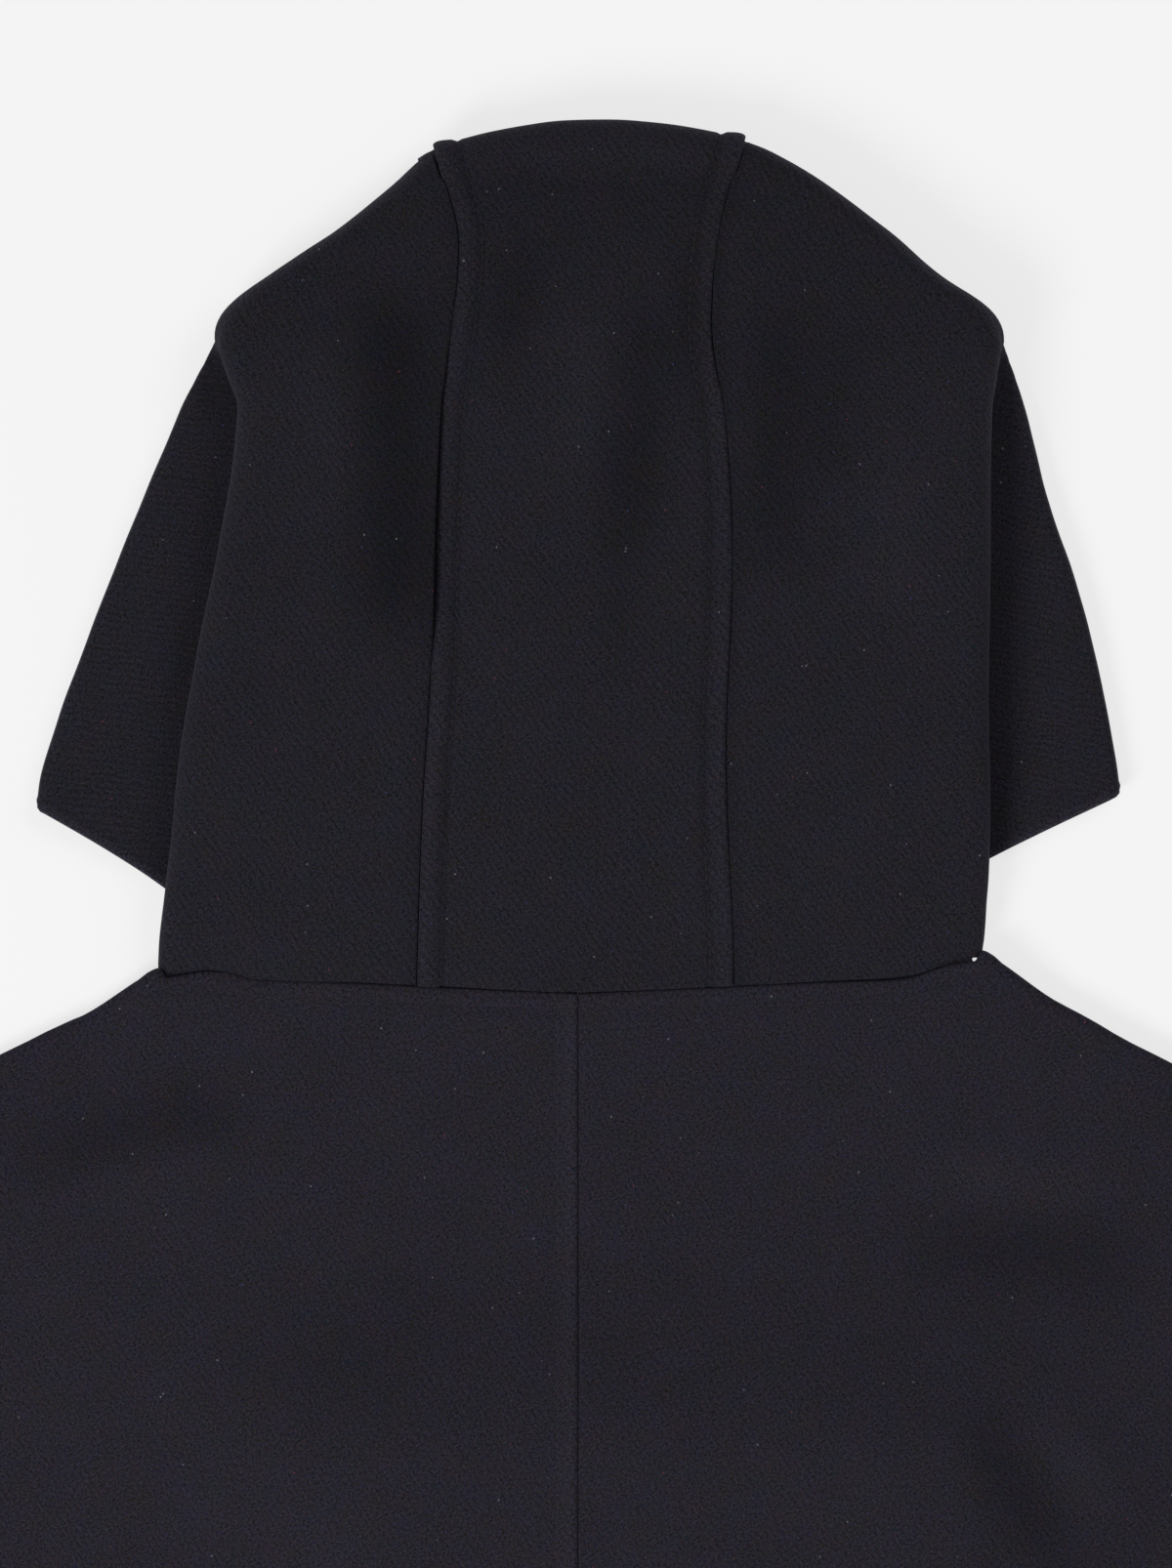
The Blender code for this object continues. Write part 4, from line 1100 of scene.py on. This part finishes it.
def build_hood_side(side):
    lower, upper = (np.array(rows) for rows in hood_side_rows(side))
    up_rows = upper.shape[0]
    virtual = 2 * upper[0] - upper[1]
    virtual[:ROLL_END + 1] = lower[EMERGE_ROW - 1][:ROLL_END + 1]
    full = np.concatenate([virtual[None], upper])
    after = 2 * lower[EMERGE_ROW] - lower[EMERGE_ROW - 1]
    after[:ROLL_END + 1] = upper[1][:ROLL_END + 1]
    low = np.concatenate([lower, after[None]])
    column_keys = mean_keys(upper, 1)
    roll_keys = column_keys[:ROLL_END + 1]
    sliver_keys = np.cumsum(np.linalg.norm(np.diff(low[:, ROLL_END:], axis=1), axis=2).mean(axis=0))
    low_column_keys = np.concatenate([roll_keys, roll_keys[-1] + sliver_keys])
    both = np.concatenate([lower[:, :ROLL_END + 1], upper[1:, :ROLL_END + 1]])
    row_keys = mean_keys(both, 0)
    full_row_keys = row_keys[EMERGE_ROW - 1:]
    low_row_keys = row_keys[:EMERGE_ROW + 2]
    shared = fine_places(column_keys, 0, ROLL_END, HOOD_STEP, True, False)
    rest = fine_places(column_keys, ROLL_END, LAST, HOOD_STEP, False, True)
    columns = shared + rest[1:]
    low_rest = fine_places(low_column_keys, ROLL_END, len(low_column_keys) - 1, HOOD_STEP,
                           False, True)
    low_columns = shared + low_rest[1:]
    rows = fine_places(full_row_keys, 1, up_rows, HOOD_STEP)
    low_rows = fine_places(low_row_keys, 0, EMERGE_ROW, HOOD_STEP, True, False)

    fine = np.einsum("ai,bj,ijk->abk", curve_weights(full_row_keys, rows),
                     curve_weights(column_keys, columns), full)
    fine_low = np.einsum("ai,bj,ijk->abk", curve_weights(low_row_keys, low_rows),
                         curve_weights(low_column_keys, low_columns), low)
    widen(fine, 1, 0, SEAM_CLOSE)
    widen(fine_low, 1, 0, SEAM_CLOSE)
    widen(fine_low, 0, 0, NECK_CLOSE)
    widen(fine, 0, -1, CROWN_CLOSE)
    count = len(shared)
    upside = fine_low[::-1]

    def lengths(grid, places, start_row):
        across_run = running(grid, 1)
        return {
            "u": side * (across_run + read(hood_table(side), "seam", 150)),
            "v": grid[:, :, 1],
            "seam": across_run,
            "column": np.broadcast_to(np.array(places)[None, :], grid.shape[:2]),
            "edge": start_row,
            "neck": (running(fine_low, 0)[::-1] if grid is upside
                     else np.full(grid.shape[:2], FAR)),
        }

    edge_run = running(fine, 0)
    edge_run = np.where(np.arange(fine.shape[1])[None, :] >= count, edge_run, FAR)
    sheet = Sheet()
    ids = sheet.add(fine, **lengths(fine, columns, edge_run))
    low_edge_run = running(upside, 0)
    low_edge_run = np.where(np.arange(upside.shape[1])[None, :] >= count, low_edge_run, FAR)
    sheet.add(upside, first_row=ids[0, :count], **lengths(upside, low_columns, low_edge_run))
    # the lower grid runs the other way up
    faces = sheet.faces
    upper_faces = (fine.shape[0] - 1) * (fine.shape[1] - 1)
    sheet.faces = faces[:upper_faces] + [f[::-1] for f in faces[upper_faces:]]

    points = np.array(sheet.points)
    column = sheet.array("column")
    seam, edge, neck = sheet.array("seam"), sheet.array("edge"), sheet.array("neck")
    on_top = np.clip((roll_keys[TOP_STEPS] - column) / 12 + 1, 0, 1)
    dents = crease_depth(HOOD_TROUGHS, points[:, 0], points[:, 1]) * on_top
    push = -dents
    calm = np.clip(seam / 12, 0, 1)
    push += (wool_noise(points, 38.0, side + 5) * 0.7
             + wool_noise(points, 14.0, side + 9) * 0.22) * calm
    # the seam to the centre: its edge swells a little before it turns in
    push += band(seam, 1.2, 5.5, 0.28, 1.6)
    # painted shade: darker in the troughs
    painted_light = np.clip(1 - 0.105 * dents, 0.35, 1.2)
    # painted shade: darker towards the crown
    painted_light *= 1 - 0.13 * np.clip((points[:, 1] - 215) / 60, 0, 1) * np.clip(on_top * 2, 0, 1)
    # painted highlight along the hem of the face opening, standing also for its paler fuzz
    painted_light *= 1 + 0.9 * np.exp(-(edge / 2.2) ** 2)
    # painted shade beside the seam to the centre
    painted_light *= 1 - 0.16 * np.exp(-(seam / 4.0) ** 2)
    # the hem of the face opening
    push += groove(edge, 3.2, 0.8, 0.4) + band(edge, 0.5, 2.6, 0.2)
    push += band(neck, 0.8, 5.5, 0.25, 1.4)
    push += crown_bump(points, side)

    def turn(s):
        wing = np.clip((s.array("column") - roll_keys[-1] - 6) / 4, 0, 1)
        more = LEFT_WING_TWILL if side < 0 else RIGHT_WING_TWILL
        return twill(HOOD_TWILL) + wing * math.radians(more)

    name = "left" if side < 0 else "right"
    obj, pts, out = shell("hood_side_%s_cloth" % name, sheet, push, turn, material=WOOL_HOOD_SHADED,
                          shade=painted_light, flip=side > 0)
    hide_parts("hood_side_%s" % name)
    return Piece(obj, pts, out, ids, sheet)


# ---------------------------------------------------------------- hood centre

def build_hood_centre():
    grid = np.array(hood_centre_rows())
    column_keys, row_keys = mean_keys(grid, 1), mean_keys(grid, 0)
    columns = fine_places(column_keys, 0, CENTRE_STEPS, HOOD_STEP)
    rows = fine_places(row_keys, 0, len(row_keys) - 1, HOOD_STEP)
    fine = np.einsum("ai,bj,ijk->abk", curve_weights(row_keys, rows),
                     curve_weights(column_keys, columns), grid)
    widen(fine, 1, 0, SEAM_CLOSE)
    widen(fine, 1, -1, SEAM_CLOSE)
    widen(fine, 0, 0, NECK_CLOSE)
    left = running(fine, 1)
    right = left[:, -1:] - left
    down = running(fine, 0)
    sheet = Sheet()
    ids = sheet.add(fine, u=fine[:, :, 0], v=down, left=left, right=right, neck=down,
                    forehead=down[-1:] - down)
    points = np.array(sheet.points)
    left, right = sheet.array("left"), sheet.array("right")
    neck, forehead = sheet.array("neck"), sheet.array("forehead")
    crown_row = row_keys[len(SEAM_UPS)]
    on_top = np.clip((crown_row - neck) / 12 + 0.5, 0, 1)
    dents = crease_depth(HOOD_TROUGHS, points[:, 0], points[:, 1]) * on_top
    push = -dents
    calm = np.clip(np.minimum(left, right) / 12, 0, 1)
    push += (wool_noise(points, 36.0, 2.5) * 0.7 + wool_noise(points, 13.0, 7.5) * 0.2) * calm
    for seam in (left, right):
        push += band(seam, 1.0, 7.2, 0.85) + groove(seam, HOOD_STITCH, 0.85, 0.75)
    push += crown_bump(points, -1) + crown_bump(points, 1)
    push += groove(forehead, 3.2, 0.8, 0.4)
    # painted shade: darker in the troughs
    painted_light = np.clip(1 - 0.105 * dents, 0.35, 1.2)
    # painted shade: darker towards the crown
    painted_light *= 1 - 0.2 * np.clip((points[:, 1] - 235) / 60, 0, 1) * on_top
    # painted highlight on the ridge beside each seam, painted shade in the stitch groove
    for seam in (left, right):
        painted_light *= 1 + band(seam, 0.9, 4.2, 0.2) + groove(seam, HOOD_STITCH, 1.1, 0.3)
    obj, pts, out = shell("hood_centre_cloth", sheet, push, twill(HOOD_TWILL), shade=painted_light,
                          material=WOOL_HOOD_SHADED)
    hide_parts("hood_centre")
    return Piece(obj, pts, out, ids, sheet)


# ---------------------------------------------------------------- body

def build_body(side, front):
    grid = np.array(body_rows(side, front))
    column_keys, row_keys = mean_keys(grid, 1), mean_keys(grid, 0)
    step = BODY_STEP * (1.2 if front else 1.0)
    columns = fine_places(column_keys, 0, len(column_keys) - 1, step)
    rows = fine_places(row_keys, 0, len(row_keys) - 1, step)
    if not front:
        # finer near the neck, which shows most
        top = row_keys[-1]
        fine_start = top - 330.0
        coarse = [r for r in rows if r < fine_start]
        tail = [top - e for e in EDGE_STEPS][::-1]
        count = int((tail[0] - coarse[-1]) / (step * 0.55))
        rows = coarse + [lerp(coarse[-1], tail[0], n / count) for n in range(1, count)] + tail
    # the roll at the side needs its own close columns
    flat = column_keys[-5]
    roll = [flat + (column_keys[-1] - flat) * n / 10 for n in range(10)]
    columns = [c for c in columns if c < flat - 1] + roll + [c for c in columns
                                                           if c > roll[-1] + 0.1]
    fine = np.einsum("ai,bj,ijk->abk", curve_weights(row_keys, rows),
                     curve_weights(column_keys, columns), grid)
    shape = fine.shape
    lift = np.array([rise(x, y) for x, y in fine[:, :, :2].reshape(-1, 2)]).reshape(shape[:2])
    share = np.clip((column_keys[-5] - np.array(columns)) / 20.0, 0, 1)[None, :]
    fine[:, :, 2] += lift * share
    if not front:
        widen(fine, 1, 0, SEAM_CLOSE)
        widen(fine, 0, -1, 0.12)
        from_top = running(fine, 0)
        from_top = from_top[-1:] - from_top
        lap = (ease((np.abs(fine[:, :, 0]) - NECK_LAP_START) / NECK_LAP_WIDTH)
               * ease(1 - from_top / NECK_LAP_FADE))
        fine[:, :, 1] += lap * (LEFT_NECK_LAP if side < 0 else RIGHT_NECK_LAP)
        fine[:, :, 2] += lap * NECK_LAP_RISE
    middle = running(fine, 1)
    hem = running(fine, 0)
    top = hem[-1:] - hem
    side_run = middle[:, -1:] - middle
    sheet = Sheet()
    ids = sheet.add(fine, u=fine[:, :, 0], v=fine[:, :, 1], middle=middle, hem=hem, top=top,
                    side=side_run)
    points = np.array(sheet.points)
    middle, hem = sheet.array("middle"), sheet.array("hem")
    top, side_run = sheet.array("top"), sheet.array("side")
    inner = np.clip(side_run / 25, 0, 1) * np.clip(top / 10, 0, 1)
    if front:
        creases = [Crease(-c.across0, c.up0, -c.across1, c.up1, c.width, -abs(c.depth) * 0.8)
                   for c in BODY_CREASES[5:]]
        # the fronts rest on the floor, so their creases only lift off it
        push = crease_depth(creases, points[:, 0], points[:, 1]) * inner
        push += groove(hem, 40.0, 0.9, -0.35) + groove(middle, 9.0, 0.9, -0.3)
    else:
        push = -crease_depth(BODY_CREASES, points[:, 0], points[:, 1]) * inner
        calm = inner * np.clip(middle / 15, 0, 1)
        push += wool_noise(points, 55.0, side + 2) * 0.85 * calm
        push += wool_noise(points, 19.0, side + 4) * 0.3 * np.clip(middle / 15, 0, 1)
        push += band(top, 1.0, 6.2, 0.6) + groove(top, BACK_STITCH, 0.8, 0.6)
        if side < 0:
            push += band(middle, 1.0, 6.2, 0.85) + groove(middle, BACK_STITCH, 0.85, 0.75)
        else:
            push += band(middle, 1.0, 5.0, 0.25, 1.4)
        push += groove(hem, 40.0, 1.0, 0.35)
        # painted shade: darker in the creases
        painted_light = np.clip(1 - 0.13 * crease_depth(BODY_CREASES, points[:, 0], points[:, 1]), 0.6, 1.2)
        # painted highlight on the ridge beside the back seam, painted shade in its stitch groove
        if side < 0:
            painted_light *= 1 + band(middle, 0.9, 4.2, 0.2) + groove(middle, BACK_STITCH, 1.1, 0.3)
        # painted shade in the neck's stitch groove
        painted_light *= 1 + groove(top, BACK_STITCH, 1.0, 0.15)
    name = "%s_%s" % ("front" if front else "back", "left" if side < 0 else "right")
    outer_up = (side > 0) != front
    obj, pts, out = shell(name + "_cloth", sheet, push, twill(BODY_TWILL),
                          shade=None if front else painted_light, flip=not outer_up)
    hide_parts(name)
    return Piece(obj, pts, out, ids, sheet)


# ---------------------------------------------------------------- sleeves

def build_sleeve(side):
    rings = np.array(sleeve_rings(side))
    # start each ring in the middle of its upper side, so that the weld is away from the folds
    start = ARMHOLE_STEPS // 2
    rings = np.roll(rings, -start, axis=1)
    closed = np.concatenate([rings[:, -2:], rings, rings[:, :3]], axis=1)
    column_keys, row_keys = mean_keys(closed, 1), mean_keys(closed, 0)
    first, last = 2, 2 + rings.shape[1]
    columns = []
    for n in range(first, last):
        gap = column_keys[n + 1] - column_keys[n]
        count = max(int(round(gap / BODY_STEP)), 2)
        columns += [lerp(column_keys[n], column_keys[n + 1], k / count) for k in range(count)]
    columns.append(column_keys[last])
    rows = fine_places(row_keys, 0, len(row_keys) - 1, BODY_STEP)
    fine = np.einsum("ai,bj,ijk->abk", curve_weights(row_keys, rows),
                     curve_weights(column_keys, columns), closed)
    down = running(fine, 0)
    sheet = Sheet()
    ids = sheet.add(fine, u=running(fine, 1), v=-down, armhole=down, cuff=down[-1:] - down)
    weld = {int(a): int(b) for a, b in zip(ids[:, -1], ids[:, 0])}
    sheet.faces = [[weld.get(i, i) for i in f] for f in sheet.faces]
    points = np.array(sheet.points)
    armhole_run, cuff = sheet.array("armhole"), sheet.array("cuff")
    over = np.clip((points[:, 2] - PLY) / (BACK_HEIGHT - PLY), 0, 1)
    flipped = points * np.array([side, 1, 1])
    creases = [Crease(c.across0 - (4 if side < 0 else 0), c.up0 - (9 if side < 0 else 0),
                      c.across1, c.up1 - (15 if side < 0 else 0), c.width,
                      c.depth * (0.8 if side < 0 else 1.0)) for c in SLEEVE_CREASES]
    fade = np.clip(armhole_run / 25, 0, 1) * np.clip(cuff / 40, 0.2, 1)
    push = -crease_depth(creases, flipped[:, 0], flipped[:, 1]) * over * fade
    push += wool_noise(points, 48.0, side + 12) * 0.8 * over * fade
    push += wool_noise(points, 17.0, side + 14) * 0.25 * over
    push += groove(cuff, 38.0, 1.0, 0.35) * over
    name = "left" if side < 0 else "right"
    obj, pts, out = shell("sleeve_%s_cloth" % name, sheet, push,
                          twill(BODY_TWILL) + side * SLEEVE_ANGLE * 0.9, flip=side < 0)
    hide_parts("sleeve_%s" % name)
    return Piece(obj, pts, out, ids, sheet)


hood_left = build_hood_side(-1)
hood_right = build_hood_side(1)
centre = build_hood_centre()
back_left, back_right = build_body(-1, False), build_body(1, False)
front_left, front_right = build_body(-1, True), build_body(1, True)
sleeve_left, sleeve_right = build_sleeve(-1), build_sleeve(1)


# ---------------------------------------------------------------- stitches

def stitch_line(piece, name, at, by_rows=True, span=(0, 1)):
    """A line of exact places at a distance along the rows or columns of a piece."""
    pts, out, ids, sheet = piece[1:]
    values = sheet.array(name)
    grid = ids if by_rows else ids.T
    line = []
    for row in grid[int(span[0] * len(grid)):int(span[1] * len(grid))]:
        v = values[row]
        if v[0] > v[-1]:
            row, v = row[::-1], v[::-1]
        i = int(np.searchsorted(v, at)) - 1
        if i < 0 or i >= len(row) - 1:
            continue
        t = (at - v[i]) / max(v[i + 1] - v[i], 1e-9)
        p = pts[row[i]] + (pts[row[i + 1]] - pts[row[i]]) * t
        n = out[row[i]]
        line.append((p + n * (OUTSIDE - 0.1), n))
    return line


for word, column in (("left", 0), ("right", -1)):
    line = edge_line(centre, centre.ids[:, column])
    allowance("hood_seam_%s" % word, line, line)
allowance("back_seam", *[edge_line(p, p.ids[:, 0]) for p in (back_left, back_right)])
for word, piece in (("left", back_left), ("right", back_right)):
    line = edge_line(piece, piece.ids[-1, :-12])
    allowance("neck_seam_%s" % word, line, line, half=6.0)


def neck_stitches(piece):
    return stitch_line(piece, "top", BACK_STITCH, by_rows=False, span=(0.05, 0.85))


parts = {
    "hood_centre_stitches": [stitch_line(centre, way, HOOD_STITCH, span=(0.01, 0.99))
                             for way in ("left", "right")],
    "back_left_stitches": [stitch_line(back_left, "middle", BACK_STITCH, span=(0.01, 0.985)),
                           neck_stitches(back_left)],
    "back_right_stitches": [neck_stitches(back_right)],
}
threads = {name: stitches(name, lines) for name, lines in parts.items()}

# ---------------------------------------------------------------- closures underneath

LEATHER = plain_material("leather_grain", (0.022, 0.014, 0.011), 0.5, 420, 0.35, 0.35)
WOOD = plain_material("wood_grain", (0.085, 0.046, 0.023), 0.4, 90, 0.45, 0.2, (0.12, 1, 1))
CORD = plain_material("cord_fibre", (0.02, 0.018, 0.02), 0.85, 1100, 0.5, 0.6)
for node_name, node in frame["nodes"].items():
    finish = (LEATHER if node_name.startswith("patch") else WOOD if node_name.startswith("toggle")
              else CORD if node_name.startswith(("cord", "loop")) else None)
    if finish:
        node.data.materials.clear()
        node.data.materials.append(finish)

# ---------------------------------------------------------------- floor, light and camera

floor_mesh = bmesh.new()
bmesh.ops.create_grid(floor_mesh, x_segments=1, y_segments=1, size=6.0)
floor_data = bpy.data.meshes.new("floor")
floor_mesh.to_mesh(floor_data)
floor_mesh.free()
floor = bpy.data.objects.new("floor", floor_data)
floor.location = (0, 0, cad_box[0][2] - 0.0002)
bpy.context.scene.collection.objects.link(floor)
floor_look, nodes, links, shader = new_material("floor")
shader.inputs["Base Color"].default_value = (0.22, 0.22, 0.22, 1)
shader.inputs["Roughness"].default_value = 1.0
shader.inputs["Specular IOR Level"].default_value = 0.0
shader.inputs["Emission Color"].default_value = (1, 1, 1, 1)
shader.inputs["Emission Strength"].default_value = 0.708
floor_data.materials.append(floor_look)

world = bpy.data.worlds.new("studio")
bpy.context.scene.world = world
world.use_nodes = True
world.node_tree.nodes["Background"].inputs[0].default_value = (1, 1, 1, 1)
world.node_tree.nodes["Background"].inputs[1].default_value = 0.30


def area_light(name, spot, aim, size, power):
    light = bpy.data.lights.new(name, "AREA")
    light.shape = "DISK"
    light.size = size
    light.energy = power
    obj = bpy.data.objects.new(name, light)
    obj.location = spot
    obj.rotation_euler = (Vector(aim) - Vector(spot)).to_track_quat("-Z", "Y").to_euler()
    bpy.context.scene.collection.objects.link(obj)


area_light("key", (-1.6, -1.3, 1.8), (0, 0.2, 0), 1.2, 60)
area_light("fill", (1.7, 1.6, 1.9), (0, 0.2, 0), 1.6, 26)

VIEW_CENTRE = (0.003, 0.078)        # from the back neck, in metres
VIEW_HEIGHT = 0.578                 # length of the coat that the picture's height takes in
DISTANCE = 1.93
camera_data = bpy.data.cameras.new("camera")
camera_data.type = "PERSP"
camera_data.sensor_fit = "VERTICAL"
camera_data.sensor_height = 36.0
camera_data.lens = 36.0 * DISTANCE / VIEW_HEIGHT
camera = bpy.data.objects.new("camera", camera_data)
camera.location = (ORIGIN.x + VIEW_CENTRE[0], ORIGIN.y + VIEW_CENTRE[1], DISTANCE)
bpy.context.scene.collection.objects.link(camera)
bpy.context.scene.camera = camera
bpy.context.scene.view_settings.view_transform = "Standard"
